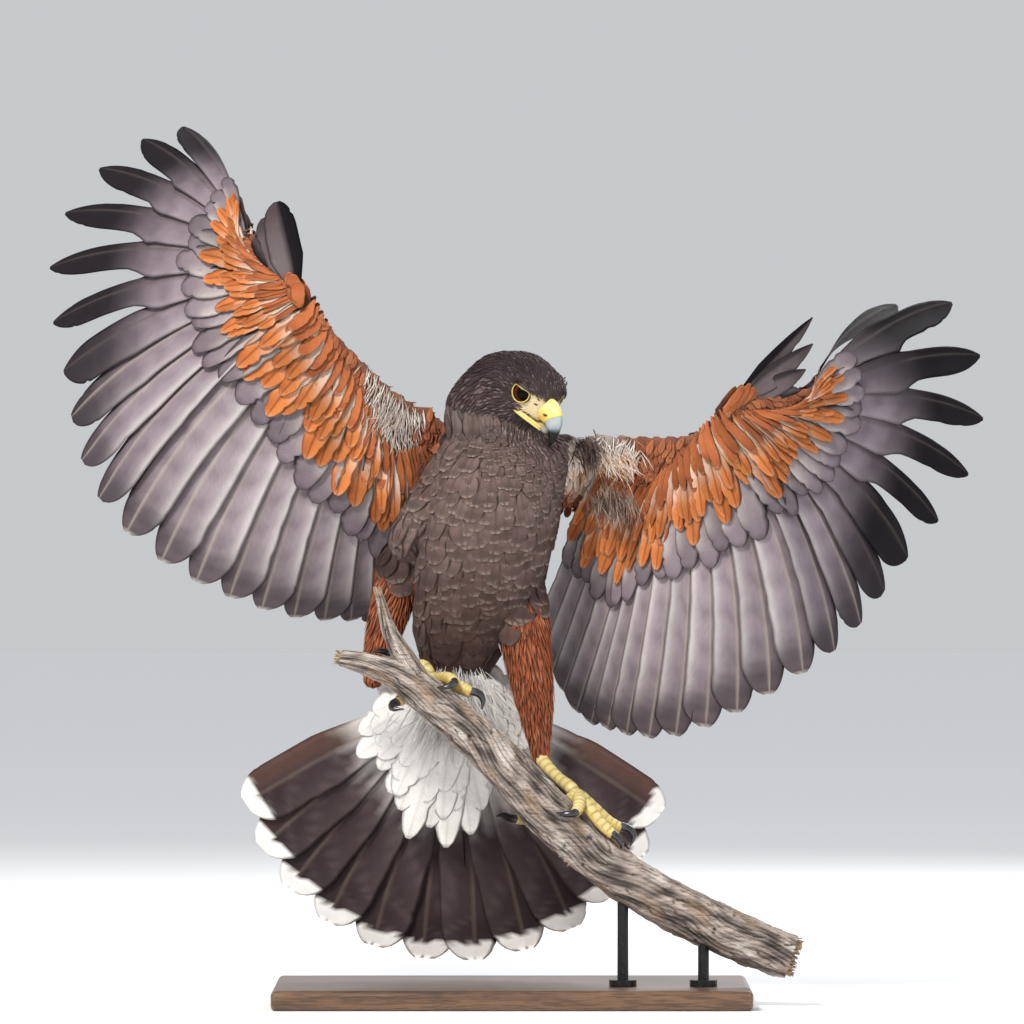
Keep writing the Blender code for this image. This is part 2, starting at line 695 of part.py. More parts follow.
def wing_core(wing, name, indices, grow=0.0, collection=None, shoulder=False):
    """The flesh of the wing: an aerofoil from the leading edge over the bone to the feather roots."""
    rings = []
    stations = []
    if shoulder:
        edge, bone = (Vector(p) for p in wing["shoulder"])
        stations.append((edge, bone, bone + ray(wing, 0)[1] * 16, wing_normal(wing, 0)))
    for i in indices:
        edge = smooth_at(wing["edge"], i)
        bone = bone_point(wing, i)
        chord, normal = ray(wing, i)[1], wing_normal(wing, i)
        past_wrist = max(0.0, i - WRIST_INDEX)
        if past_wrist:
            hand = (bone_point(wing, 22) - bone_point(wing, WRIST_INDEX)).normalized()
            chord = ray(wing, WRIST_INDEX)[1]
            across = (chord - hand * chord.dot(hand)).normalized()
            square = hand.cross(across) * -math.copysign(1, hand.cross(across).y)
            turned = min(1.0, past_wrist / 4)
            chord = chord.lerp(across, turned).normalized()
            normal = wing_normal(wing, WRIST_INDEX).lerp(square, turned).normalized()
        reach = CORE_REACH_ARM + (CORE_REACH_TIP - CORE_REACH_ARM) * past_wrist / 10
        stations.append((edge, bone, bone + chord * reach, normal))
    for k, (edge, bone, rear, normal) in enumerate(stations):
        along = (bone - edge).normalized()
        nose = edge - along * grow
        tail = rear + (rear - bone).normalized() * grow
        near = edge + (bone - edge) * 0.25
        ring = [
            nose, near + normal * (5.0 + grow), bone + normal * (6.2 + grow), tail + normal * (1.6 + grow),
            tail - normal * (1.6 + grow), bone - normal * (6.2 + grow), near - normal * (5.0 + grow),
        ]
        rings.append(ring)
    if grow:
        for end, inner in ((0, 1), (-1, -2)):
            step = stations[end][1] - stations[inner][1]
            push = step.normalized() * grow
            rings[end] = [p + push for p in rings[end]]
    return loft(name, rings, collection, folded_ends=True)


def wing_vanes(wing, part, indices):
    vanes = [flight_feather(wing, i) for i in indices]
    for tier in COVERT_TIERS[part]:
        vanes += [covert(wing, tier, k) for k in range(tier[3])]
    return vanes


def make_wing(side, feather_paint):
    wing = WINGS[side]
    arm = wing_core(wing, f"wing_{side}_arm", ARM_STATIONS, shoulder=True)
    boolean(arm, "UNION", wing_vanes(wing, "arm", range(FIRST_PRIMARY)), "MANIFOLD")
    cuts = [torso("torso_cut", GAP, HELPERS), neck("neck_cut", GAP, HELPERS)]
    boolean(arm, "DIFFERENCE", cuts, "MANIFOLD")
    keep_largest(arm)
    finish(arm, feather_paint)
    hand = wing_core(wing, f"wing_{side}_hand", HAND_STATIONS)
    boolean(hand, "UNION", wing_vanes(wing, "hand", range(FIRST_PRIMARY, FEATHERS_PER_WING)), "MANIFOLD")
    cuts = [wing_core(wing, "arm_cut", ARM_STATIONS, GAP, HELPERS, shoulder=True)]
    cuts += [flight_feather(wing, i, GAP) for i in range(9, FIRST_PRIMARY)]
    for tier in COVERT_TIERS["arm"]:
        cuts += [covert(wing, tier, k, GAP) for k in range(tier[3] - 3, tier[3])]
    boolean(hand, "DIFFERENCE", cuts, "MANIFOLD")
    keep_largest(hand)
    finish(hand, feather_paint)


# Tail

def tail_ray(k):
    """Direction, length and layer of tail feather k: the outer pairs lie in front of the middle one."""
    share = k / (TAIL_FEATHERS - 1)
    angle = TAIL_SPREAD_DEG[0] + (TAIL_SPREAD_DEG[1] - TAIL_SPREAD_DEG[0]) * share
    off = abs(share - 0.5) * 2
    length = TAIL_LENGTH - TAIL_OUTER_SHORTER * off * off
    direction = hanging(angle, math.radians(TAIL_BACK_DEG))
    layer = abs(k - (TAIL_FEATHERS - 1) / 2) - 0.5 + (0.5 if share > 0.5 else 0.0)
    if off < 0.1 and share < 0.5:
        layer = -0.3
    return direction.normalized(), length, layer


def tail_vane(k, grow=0.0):
    direction, length, layer = tail_ray(k)
    lean = math.radians(TAIL_BACK_DEG)
    normal = Vector((0, -math.cos(lean), -math.sin(lean)))
    outward = direction.cross(normal)
    if outward.x * (k - (TAIL_FEATHERS - 1) / 2) < 0:
        outward = -outward
    line, widths, rolls = [], [], []
    step = math.radians((TAIL_SPREAD_DEG[1] - TAIL_SPREAD_DEG[0]) / (TAIL_FEATHERS - 1))
    for s in TAIL_STATIONS:
        line.append(Vector(TAIL_ROOT) + direction * (length * s) + normal * (layer * TAIL_LAYER))
        full = TAIL_WIDTH * min(1.0, 0.1 + 1.3 * s) * {0.97: 0.8, 1.0: 0.3}.get(s, 1.0)
        widths.append((full * 0.4, full * 0.6, outward))
        rolls.append(TAIL_ROLL_SHARE * louvre_deg(length * s * step) if s > 0.1 and layer > 0.5 else 0.0)
    return vane("tail_vane", line, lambda _: normal, widths, lambda j: rolls[j], grow)


def tail_solid(name, grow=0.0, collection=None):
    radii = [r + grow for r in (22, 10, 26)]
    root = ball(name, (TAIL_ROOT[0], TAIL_ROOT[1] + 4, TAIL_ROOT[2]), radii, 14, 8, collection=collection)
    return boolean(root, "UNION", [tail_vane(k, grow) for k in range(TAIL_FEATHERS)])


def make_tail(feather_paint):
    tail = tail_solid("tail")
    boolean(tail, "DIFFERENCE", [torso("torso_cut", GAP, HELPERS)])
    keep_largest(tail)
    finish(tail, feather_paint)


# Undertail coverts


def make_undertail(skin):
    lean = math.radians(COVERTS_BACK_DEG)
    normal = Vector((0, -math.cos(lean), -math.sin(lean)))
    core = ball("undertail_coverts", COVERTS_ROOT, (22, 9, 21), 14, 8)
    vanes = []
    for tier, (count, width, lift) in enumerate(UNDERTAIL_TIERS):
        low, high = UNDERTAIL_REACH_DEG
        step = (high - low) / (count - 1)
        for k in range(count):
            angle = low + step * k
            direction = hanging(angle, lean)
            length = smooth_at(COVERTS_FAN, angle)[tier]
            across = direction.cross(normal)
            line, widths = [], []
            for s in (0.0, 0.4, 0.8, 1.0):
                reach = UNDERTAIL_START + (length - UNDERTAIL_START) * s
                line.append(Vector(COVERTS_ROOT) + direction * reach + normal * lift)
                full = min(width, VANE_OVERLAP * reach * math.radians(step)) * (0.35 if s == 1 else 1.0)
                widths.append((full * 0.5, full * 0.5, across))
            roll = louvre_deg(length * 0.6 * math.radians(step))
            vanes.append(vane("fluff", line, lambda _: normal, widths, lambda _: roll))
    boolean(core, "UNION", vanes)
    boolean(core, "DIFFERENCE", [torso("torso_cut", GAP, HELPERS)])
    keep_largest(core)
    finish(core, skin)


# Legs and feet


def branch_frame(x):
    """Centre, radius, up and front of the branch where its centre line passes x."""
    for a, b in zip(BRANCH, BRANCH[1:]):
        if x <= b[0] or b is BRANCH[-1]:
            share = (x - a[0]) / (b[0] - a[0])
            centre = Vector(a[:3]).lerp(Vector(b[:3]), share)
            radius = a[3] + (b[3] - a[3]) * share
            tangent = (Vector(b[:3]) - Vector(a[:3])).normalized()
            front = Vector((0, -1, 0))
            front = (front - tangent * front.dot(tangent)).normalized()
            return centre, radius, front.cross(tangent) * math.copysign(1, front.cross(tangent).z), front


def on_branch(x, turn, height):
    centre, radius, up, front = branch_frame(x)
    angle = math.radians(turn)
    return centre + (up * math.cos(angle) + front * math.sin(angle)) * (radius + height)


def digit(name, stations, grow=0.0, collection=None, sides=7):
    path = [(*on_branch(x, turn, height), radius) for x, turn, height, radius in stations]
    return path_loft(name, path, sides, grow, collection)


def branch(name="perch_branch", grow=0.0, collection=None):
    trunk = path_loft(name, BRANCH, 14, grow, collection, roughness=0.07, seed=5)
    fork = path_loft("fork", BRANCH_FORK, 10, grow, HELPERS, roughness=0.08, seed=9)
    return boolean(trunk, "UNION", [fork])


def foot(side, name, grow=0.0, collection=None):
    pad_path = [TOES[side]["hind"][0], TOES[side]["middle"][0]]
    centre = (on_branch(*pad_path[0][:3]) + on_branch(*pad_path[1][:3])) / 2
    pad = ball(name, centre, [r + grow for r in (8.5, 8.0, 7.5)], 10, 6, collection=collection)
    toes = [digit("toe", stations, grow, HELPERS) for stations in TOES[side].values()]
    return boolean(pad, "UNION", toes)


def make_legs(thigh_paint, foot_paint, claw_paint):
    for side in ("right", "left"):
        thigh = path_loft(f"leg_{side}_thigh", THIGHS[side], 14)
        boolean(thigh, "DIFFERENCE", [torso("torso_cut", GAP, HELPERS)])
        keep_largest(thigh)
        finish(thigh, thigh_paint)
        tarsus = path_loft(f"leg_{side}_tarsus", TARSI[side], 12)
        boolean(tarsus, "DIFFERENCE", [path_loft("thigh_cut", THIGHS[side], 14, GAP, HELPERS)])
        keep_largest(tarsus)
        finish(tarsus, foot_paint)
        grip = foot(side, f"foot_{side}")
        cuts = [branch("branch_cut", GAP, HELPERS), path_loft("tarsus_cut", TARSI[side], 12, GAP, HELPERS)]
        boolean(grip, "DIFFERENCE", cuts)
        keep_largest(grip)
        finish(grip, foot_paint)
        for toe, stations in CLAWS[side].items():
            claw = digit(f"claw_{side}_{toe}", stations, sides=6)
            cuts = [foot(side, "foot_cut", GAP, HELPERS), branch("branch_cut", GAP, HELPERS)]
            boolean(claw, "DIFFERENCE", cuts)
            keep_largest(claw)
            finish(claw, claw_paint)


# Alulae


def make_alula(side, feather_paint):
    wing = WINGS[side]
    front, sweep, length = wing["alula_fan"]
    normal = wing_normal(wing, FIRST_PRIMARY)
    vanes = []
    for k, share in enumerate(ALULA_LENGTHS):
        direction = swept(front - wing["alula_step_deg"] * k, sweep)
        across = direction.cross(normal) * math.copysign(1, wing["alula_step_deg"])
        line, widths = [], []
        for s in (0.0, 0.35, 0.75, 0.95, 1.0):
            place = Vector(wing["alula_root"]) + direction * (length * share * s)
            line.append(place + normal * (1.3 * k * min(1.0, 4 * s)))
            full = ALULA_WIDTH * min(1.0, 0.4 + 2 * s) * {0.95: 0.75, 1.0: 0.3}.get(s, 1.0)
            widths.append((full * 0.4, full * 0.6, across))
        vanes.append(vane("alula", line, lambda _: normal, widths, lambda _: 0.0))
    thumb = ball(f"wing_{side}_alula", wing["alula_root"], (9, 7, 12), 10, 6)
    boolean(thumb, "UNION", vanes)
    cuts = [wing_core(wing, "hand_cut", HAND_STATIONS, GAP, HELPERS)]
    cuts.append(wing_core(wing, "arm_cut", ARM_STATIONS, GAP, HELPERS, shoulder=True))
    for part, nearest in (("arm", -1), ("hand", 0)):
        cuts += [covert(wing, tier, nearest % tier[3], GAP) for tier in COVERT_TIERS[part]]
    boolean(thumb, "DIFFERENCE", cuts, "MANIFOLD")
    keep_largest(thumb)
    finish(thumb, feather_paint)


# Stand


def make_stand(bark, wood, metal):
    finish(branch(), bark)
    bpy.ops.mesh.primitive_cube_add(size=1, location=(0, 0, BASE_SIZE[2] * MM / 2))
    base = bpy.context.object
    base.name = "stand_base"
    base.scale = [side * MM for side in BASE_SIZE]
    bpy.ops.object.transform_apply(location=True, rotation=False, scale=True)
    for owner in list(base.users_collection):
        owner.objects.unlink(base)
    PARTS.objects.link(base)
    rounding = base.modifiers.new("edge rounding", "BEVEL")
    rounding.width = BASE_EDGE_ROUNDING * MM
    rounding.segments = 3
    finish(base, wood)
    for number, x in enumerate(RODS_AT_X, 1):
        centre, _, _, _ = branch_frame(x)
        foot_z = BASE_SIZE[2] + GAP
        foot_top = foot_z + ROD_FOOT_HEIGHT
        path = [(x, centre.y, foot_z, ROD_FOOT_RADIUS), (x, centre.y, foot_top, ROD_FOOT_RADIUS)]
        flange = path_loft("flange", path, 18, collection=HELPERS)
        shaft = [(x, centre.y, foot_z, ROD_RADIUS), (x, centre.y, centre.z, ROD_RADIUS)]
        rod = path_loft(f"stand_rod_{number}", shaft, 12)
        boolean(rod, "UNION", [flange])
        boolean(rod, "DIFFERENCE", [branch("branch_cut", GAP, HELPERS)])
        keep_largest(rod)
        finish(rod, metal)


def main():
    clear_scene()
    make_collections()
    brown = paint("dark_brown_plumage", (0.045, 0.032, 0.027), 0.75)
    chestnut = paint("chestnut_plumage", (0.30, 0.10, 0.04), 0.8)
    flight = paint("flight_feathers", (0.14, 0.115, 0.11), 0.6)
    white = paint("white_plumage", (0.78, 0.77, 0.75), 0.8)
    yellow = paint("scaled_skin", (0.72, 0.46, 0.08), 0.5)
    horn = paint("horn", (0.03, 0.032, 0.04), 0.3)
    bill = paint("bill_horn", (0.24, 0.30, 0.36), 0.35)
    iris = paint("iris", (0.035, 0.018, 0.01), 0.08)
    bark = paint("weathered_bark", (0.23, 0.17, 0.13), 0.9)
    wood = paint("walnut_base", (0.12, 0.06, 0.03), 0.4)
    metal = paint("blackened_rod", (0.05, 0.05, 0.05), 0.35, 1.0)
    make_head(brown, bill, iris)
    make_body(brown)
    for side in ("right", "left"):
        make_wing(side, flight)
        make_alula(side, flight)
    make_tail(flight)
    make_undertail(white)
    make_legs(chestnut, yellow, horn)
    make_stand(bark, wood, metal)


main()
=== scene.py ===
# %% [markdown]
# # A Harris hawk landing on a branch, as a still model on a display stand
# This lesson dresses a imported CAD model. The CAD solids give every place and size. Here they are given
# a skin, a coat of feathers, horn, scales, bark and wood. Lengths are in millimetres until a mesh is
# written, because feathers are easier to think of that way, and MM turns them into metres.

import functools
import itertools
import math

import bmesh
import bpy
import numpy as np
from mathutils import Matrix, Vector
from mathutils.bvhtree import BVHTree


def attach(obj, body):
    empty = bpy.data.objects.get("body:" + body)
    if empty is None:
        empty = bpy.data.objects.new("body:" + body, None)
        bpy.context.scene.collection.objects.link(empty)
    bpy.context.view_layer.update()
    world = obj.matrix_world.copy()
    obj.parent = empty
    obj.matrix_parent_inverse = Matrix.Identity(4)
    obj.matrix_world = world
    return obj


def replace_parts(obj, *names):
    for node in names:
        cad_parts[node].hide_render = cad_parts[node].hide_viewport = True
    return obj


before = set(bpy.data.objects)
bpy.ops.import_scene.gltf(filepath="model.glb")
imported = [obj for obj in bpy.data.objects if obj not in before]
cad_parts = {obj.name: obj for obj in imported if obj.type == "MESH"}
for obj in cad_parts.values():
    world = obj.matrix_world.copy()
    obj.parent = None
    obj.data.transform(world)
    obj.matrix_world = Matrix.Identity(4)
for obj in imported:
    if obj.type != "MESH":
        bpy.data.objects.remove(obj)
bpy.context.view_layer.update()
print("nodes in the frame:", len(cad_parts))

# %% [markdown]
# ## Camera, light and floor
# The photograph looks level at the bird from some way off, so a long lens eight metres away gives the
# same flat perspective. The lights are a large soft key from the upper left, a fill and a rim.

# %% Camera and studio
MM = 0.001
scene = bpy.context.scene
CAMERA_DISTANCE = 8.0
CAMERA_HEIGHT = 0.3928
FRAME_WIDTH = 0.8192
SENSOR = 36.0


def pointed_at(location, target):
    """A turn that makes a camera or lamp at location look at target."""
    return (Vector(target) - Vector(location)).to_track_quat("-Z", "Y").to_euler()


def add_camera():
    camera = bpy.data.cameras.new("camera")
    camera.lens = SENSOR * CAMERA_DISTANCE / FRAME_WIDTH
    camera.sensor_width = SENSOR
    camera.clip_end = 100
    obj = bpy.data.objects.new("camera", camera)
    obj.location = (0, -CAMERA_DISTANCE, CAMERA_HEIGHT)
    obj.rotation_euler = (math.radians(90), 0, 0)
    scene.collection.objects.link(obj)
    scene.camera = obj


def add_area_light(name, location, target, size, power, colour=(1, 1, 1)):
    lamp = bpy.data.lights.new(name, "AREA")
    lamp.shape = "DISK"
    lamp.size = size
    lamp.energy = power
    lamp.color = colour
    obj = bpy.data.objects.new(name, lamp)
    obj.location = location
    obj.rotation_euler = pointed_at(location, target)
    scene.collection.objects.link(obj)


def add_floor():
    bpy.ops.mesh.primitive_plane_add(size=40, location=(0, 0, 0))
    floor = bpy.context.object
    floor.name = "studio_floor"
    material = bpy.data.materials.new("studio paper")
    material.use_nodes = True
    shader = material.node_tree.nodes["Principled BSDF"]
    shader.inputs["Base Color"].default_value = (0.94, 0.945, 0.95, 1)
    shader.inputs["Roughness"].default_value = 0.9
    floor.data.materials.append(material)


def make_sky():
    """A soft pale dome, a little dimmer at the horizon, where it meets the floor."""
    world = bpy.data.worlds.new("studio")
    world.use_nodes = True
    tree = world.node_tree
    place = tree.nodes.new("ShaderNodeTexCoord").outputs["Generated"]
    parts = tree.nodes.new("ShaderNodeSeparateXYZ")
    tree.links.new(place, parts.inputs[0])
    shade = tree.nodes.new("ShaderNodeValToRGB")
    shade.color_ramp.elements[0].color = (0.885, 0.905, 0.93, 1)
    shade.color_ramp.elements[1].position = 0.3
    shade.color_ramp.elements[1].color = (0.95, 0.965, 1.0, 1)
    tree.links.new(parts.outputs["Z"], shade.inputs["Fac"])
    tree.links.new(shade.outputs["Color"], tree.nodes["Background"].inputs["Color"])
    tree.nodes["Background"].inputs["Strength"].default_value = 0.64
    return world


add_camera()
add_area_light("key", (-1.1, -2.4, 2.5), (0, 0, 0.38), 0.8, 115, (1.0, 0.96, 0.90))
add_area_light("fill", (2.4, -2.4, 0.9), (0, 0, 0.36), 2.2, 12, (0.93, 0.96, 1.0))
add_area_light("rim", (0.9, 2.2, 1.9), (0, 0, 0.4), 1.4, 46)
scene.world = make_sky()
scene.view_settings.view_transform = "Standard"
add_floor()
print("lens", round(scene.camera.data.lens, 1), "mm")

# %% [markdown]
# ## How a feather mesh is made
# A feather is a thin closed blade: a grid on its face, a grid on its back, and one shared edge between
# them. All feathers of one kind are gathered into one mesh from arrays, because thousands of separate
# objects would be slow. Each point keeps a colour in the attribute "tint", its place across and along
# the vane in the UV map "vane", and a place for baking in the UV map "OFBake".

# %% Feather gatherer
BAKE_GRID = 16


def unit(array):
    """Rows of an array scaled to length one."""
    length = np.linalg.norm(array, axis=-1, keepdims=True)
    return array / np.maximum(length, 1e-9)


def blend(a, b, share):
    """From colour a to colour b by an array of shares."""
    share = np.clip(np.asarray(share, float), 0, 1)[..., None]
    return np.asarray(a, float) * (1 - share) + np.asarray(b, float) * share


def ease(low, high, value):
    """0 below low, 1 above high, smooth between."""
    t = np.clip((np.asarray(value, float) - low) / (high - low), 0, 1)
    return t * t * (3 - 2 * t)


def soft(low, high, value):
    """The same as ease, for one number."""
    return float(ease(low, high, value))


class Gather:
    """Collects blades of four-sided faces into a single mesh."""

    def __init__(self):
        self.points, self.tints, self.vanes, self.faces, self.bakes = [], [], [], [], []
        self.count = self.quills = 0

    def add_points(self, points, tints, vanes):
        """Keeps the points of some blades and returns the number of their first one."""
        first = self.count
        self.points.append(points.reshape(-1, 3))
        self.tints.append(tints.reshape(-1, 3))
        self.vanes.append(vanes.reshape(-1, 2))
        self.count += len(self.points[-1])
        return first

    def add_faces(self, faces, bakes):
        """Keeps faces with the baking place of each of their corners."""
        self.faces.append(faces.reshape(-1, 4))
        self.bakes.append(bakes.reshape(-1, 2))

    def next_cells(self):
        """A free cell of the baking sheet for a big quill, one half for its face and one for its back."""
        k = self.quills % BAKE_GRID**2
        self.quills += 1
        x, y = k % BAKE_GRID / BAKE_GRID, k // BAKE_GRID / BAKE_GRID
        return np.array([[[x, y], [x + 0.5 / BAKE_GRID, y]]])

    def build(self, name, material):
        points, tints, vanes, faces, bakes = (
            np.concatenate(rows) for rows in (self.points, self.tints, self.vanes, self.faces, self.bakes)
        )
        corners = faces.ravel().astype(np.int32)
        mesh = bpy.data.meshes.new(name)
        mesh.vertices.add(len(points))
        mesh.vertices.foreach_set("co", (points * MM).astype(np.float32).ravel())
        mesh.loops.add(len(corners))
        mesh.loops.foreach_set("vertex_index", corners)
        mesh.polygons.add(len(faces))
        mesh.polygons.foreach_set("loop_start", np.arange(0, len(corners), 4, dtype=np.int32))
        mesh.polygons.foreach_set("loop_total", np.full(len(faces), 4, np.int32))
        mesh.update(calc_edges=True)
        tint = mesh.attributes.new("tint", "FLOAT_COLOR", "POINT")
        tint.data.foreach_set("color", np.c_[tints, np.ones(len(tints))].astype(np.float32).ravel())
        for map_name, places in (("vane", vanes[corners]), ("OFBake", bakes)):
            layer = mesh.uv_layers.new(name=map_name)
            layer.data.foreach_set("uv", places.astype(np.float32).ravel())
        mesh.materials.append(material)
        mesh.shade_smooth()
        obj = bpy.data.objects.new(name, mesh)
        scene.collection.objects.link(obj)
        print(name, "triangles", 2 * len(faces))
        return obj


@functools.lru_cache
def blade_faces(stations, columns, full_back):
    """Faces of one blade: its face grid, its back grid and both ends, and the columns of its back."""
    face = np.arange(stations * columns).reshape(stations, columns)
    inner = np.arange(1, columns - 1) if full_back else np.array([columns // 2])
    back = np.arange(len(inner) * stations).reshape(stations, len(inner)) + stations * columns
    back = np.concatenate([face[:, :1], back, face[:, -1:]], axis=1)
    front_quads, back_quads, ends = [], [], []
    for k in range(stations - 1):
        for c in range(columns - 1):
            front_quads.append((face[k, c], face[k, c + 1], face[k + 1, c + 1], face[k + 1, c]))
        for c in range(back.shape[1] - 1):
            back_quads.append((back[k, c], back[k + 1, c], back[k + 1, c + 1], back[k, c + 1]))
    for k in (0, stations - 1):
        loop = list(face[k]) + list(back[k, -2:0:-1])
        while len(loop) > 3:
            quad = (loop[-1], *loop[:3]) if len(loop) > 4 else tuple(loop)
            ends.append(quad[::-1] if k == 0 else quad)
            loop = [loop[-1]] + loop[2:]
    return np.array(front_quads), np.array(back_quads), np.array(ends), inner


def add_blades(gather, face, back, face_tint, back_tint, vane, bake_root, bake_size, full_back):
    """Adds n blades at once. face, back: (n, stations, columns, 3) points. bake_root: (n, 2, 2)."""
    n, stations, columns = face.shape[:3]
    front_quads, back_quads, ends, inner = blade_faces(stations, columns, full_back)

    def both(front, rear, parts):
        return np.concatenate([front.reshape(n, -1, parts), rear[:, :, inner].reshape(n, -1, parts)], axis=1)

    points = both(face, back, 3)
    first = gather.add_points(points, both(face_tint, back_tint, 3), both(vane, vane, 2))
    grid_u, grid_v = np.meshgrid(np.linspace(0, 1, columns), np.linspace(0, 1, stations))
    local = np.stack([grid_u, grid_v], axis=-1)
    local = np.concatenate([local.reshape(-1, 2), local[:, inner].reshape(-1, 2)])
    shift = first + (np.arange(n) * points.shape[1])[:, None, None]
    for quads, half in ((front_quads, 0), (back_quads, 1), (ends, 0)):
        places = bake_root[:, half][:, None, None, :] + local[quads][None] * bake_size
        gather.add_faces(quads[None] + shift, places)


print("feather gatherer ready")

# %% [markdown]
# ## The wing as a fan of rays
# Feather 0 is the innermost secondary, 12 the outermost, 13 to 22 are the ten primaries. Between them
# the fan is read from a smooth curve through a few keyed directions, the same that the solids use.

# %% Wing fans
WRIST, FIRST_PRIMARY, FEATHERS = 12.5, 13, 23
WINGS = {
    "right": {
        "bones": {0: (-74, 38, 441), 3.5: (-96, 34, 433), 12.5: (-168, 0, 557), 22: (-212, 28, 610)},
        "edge": {
            0: (-60, 16, 478), 4: (-92, 10, 494), 8: (-130, 2, 528),
            12.5: (-170, -5, 570), 22: (-206, 20, 616),
        },
        "fan": {
            0: (-96, 44, 126), 4: (-96, 23, 148), 8: (-111, 6, 194), 12: (-130, 7, 228),
            16: (-159, 31, 225), 19: (-195, 46, 250), 22: (-240, 53, 188),
        },
        "shoulder": ((-26, 14, 462), (-34, 26, 432)),
        "thumb": (-172, -4, 571), "thumb_point": 0.66,
        "thumb_quills": [(105, 10, 73, 30), (117, 14, 60, 23), (130, 18, 46, 18)],
    },
    "left": {
        "bones": {0: (75, 38, 420), 3.5: (106, 34, 402), 12.5: (173, 0, 466), 22: (237, 36, 485)},
        "edge": {
            0: (64, 16, 458), 4: (108, 10, 458), 8: (150, 2, 459),
            12.5: (177, -4, 480), 22: (234, 29, 495),
        },
        "fan": {
            0: (-110, 30, 172), 4: (-104, 16, 197), 8: (-92, 5, 222), 12: (-72, 9, 212),
            16: (-43, 36, 212), 19: (-3, 49, 260), 21: (32, 51, 246), 22: (45, 55, 192),
        },
        "shoulder": ((26, 14, 456), (32, 30, 420)),
        "thumb": (178, -4, 482), "thumb_point": 0.35,
        "thumb_quills": [(45, 22, 99, 16), (35, 20, 78, 19), (22, 18, 56, 18), (10, 16, 42, 14)],
    },
}
DROOP, SWEEP = 0.055, 0.045


def smooth_at(keys, x):
    """A smooth curve through keyed values, read at x."""
    places = sorted(keys)
    values = [Vector(keys[p]) for p in places]
    if x <= places[0]:
        return values[0] + (values[1] - values[0]) * ((x - places[0]) / (places[1] - places[0]))
    if x >= places[-1]:
        return values[-1] + (values[-1] - values[-2]) * ((x - places[-1]) / (places[-1] - places[-2]))
    k = max(j for j in range(len(places) - 1) if places[j] <= x)

    def slope(j):
        a, b = max(j - 1, 0), min(j + 1, len(places) - 1)
        return (values[b] - values[a]) / (places[b] - places[a])

    span = places[k + 1] - places[k]
    t = (x - places[k]) / span
    return (
        values[k] * (2 * t**3 - 3 * t**2 + 1) + slope(k) * (span * (t**3 - 2 * t**2 + t))
        + values[k + 1] * (3 * t**2 - 2 * t**3) + slope(k + 1) * (span * (t**3 - t**2))
    )


def bone_point(wing, i):
    places = sorted(wing["bones"])
    for low, high in zip(places, places[1:]):
        if i <= high or high == places[-1]:
            a, b = Vector(wing["bones"][low]), Vector(wing["bones"][high])
            return a + (b - a) * ((i - low) / (high - low))


def direction_of(front, sweep):
    front, sweep = math.radians(front), math.radians(sweep)
    return Vector((math.cos(front) * math.cos(sweep), math.sin(sweep), math.sin(front) * math.cos(sweep)))


def ray(wing, i):
    """Root, direction and length of the flight feather at index i."""
    front, sweep, length = smooth_at(wing["fan"], i)
    return bone_point(wing, i), direction_of(front, sweep), length


def chord_point(wing, i, s):
    root, direction, length = ray(wing, i)
    return root + direction * (length * s)


def wing_normal(wing, i, s=0.6):
    """Unit normal of the fan on its underside, which faces the viewer."""
    span = chord_point(wing, i + 0.5, s) - chord_point(wing, i - 0.5, s)
    normal = span.cross(ray(wing, i)[1]).normalized()
    return normal if normal.y < 0 else -normal


def shaft_point(wing, i, s):
    """A point on the bowed shaft of the feather at index i."""
    root, direction, length = ray(wing, i)
    normal = wing_normal(wing, i)
    lead = direction.cross(normal)
    if lead.dot(chord_point(wing, i + 0.5, 0.6) - chord_point(wing, i - 0.5, 0.6)) < 0:
        lead = -lead
    bow = 4 * s * (1 - s) if 0 < s < 1 else 0.0
    return root + direction * (length * s) + (normal * DROOP + lead * SWEEP) * (length * bow)


def fan_frame(wing, i, s):
    """Underside normal, way to the leading edge and spacing of the shafts at share s of feather i."""
    direction = ray(wing, i)[1]
    across = shaft_point(wing, i + 0.5, s) - shaft_point(wing, i - 0.5, s)
    across -= direction * across.dot(direction)
    normal = direction.cross(across).normalized()
    return normal if normal.y < 0 else -normal, across.normalized(), across.length


for side, wing in WINGS.items():
    print(side, "wing: longest primary", round(max(ray(wing, i)[2] for i in range(13, 23))), "mm")

# %% [markdown]
# ## Building one quill
# A quill is laid along a line of points. At each station the vane is turned about its shaft like a
# slat of a blind, leading edge up and trailing edge down, so that neighbours overlap without
# touching. The shaft stands out as a rib, the vane is slightly hollow below, and small splits
# break its edge where the barbs have come unzipped.

# %% One quill
QUILL_COLUMNS = np.array([-1.0, -0.86, -0.62, -0.36, -0.12, 0.0, 0.12, 0.4, 0.72, 1.0])
QUILL_STATIONS = 30


def split_edges(random, stations, depth):
    """A share of full width for each station and both edges, with a few narrow notches."""
    width = np.ones((2, stations))
    for edge in range(2):
        for _ in range(random.integers(1, 4)):
            k = random.integers(int(stations * 0.35), stations - 3)
            width[edge, k] -= depth * random.uniform(0.4, 1.0)
    return width


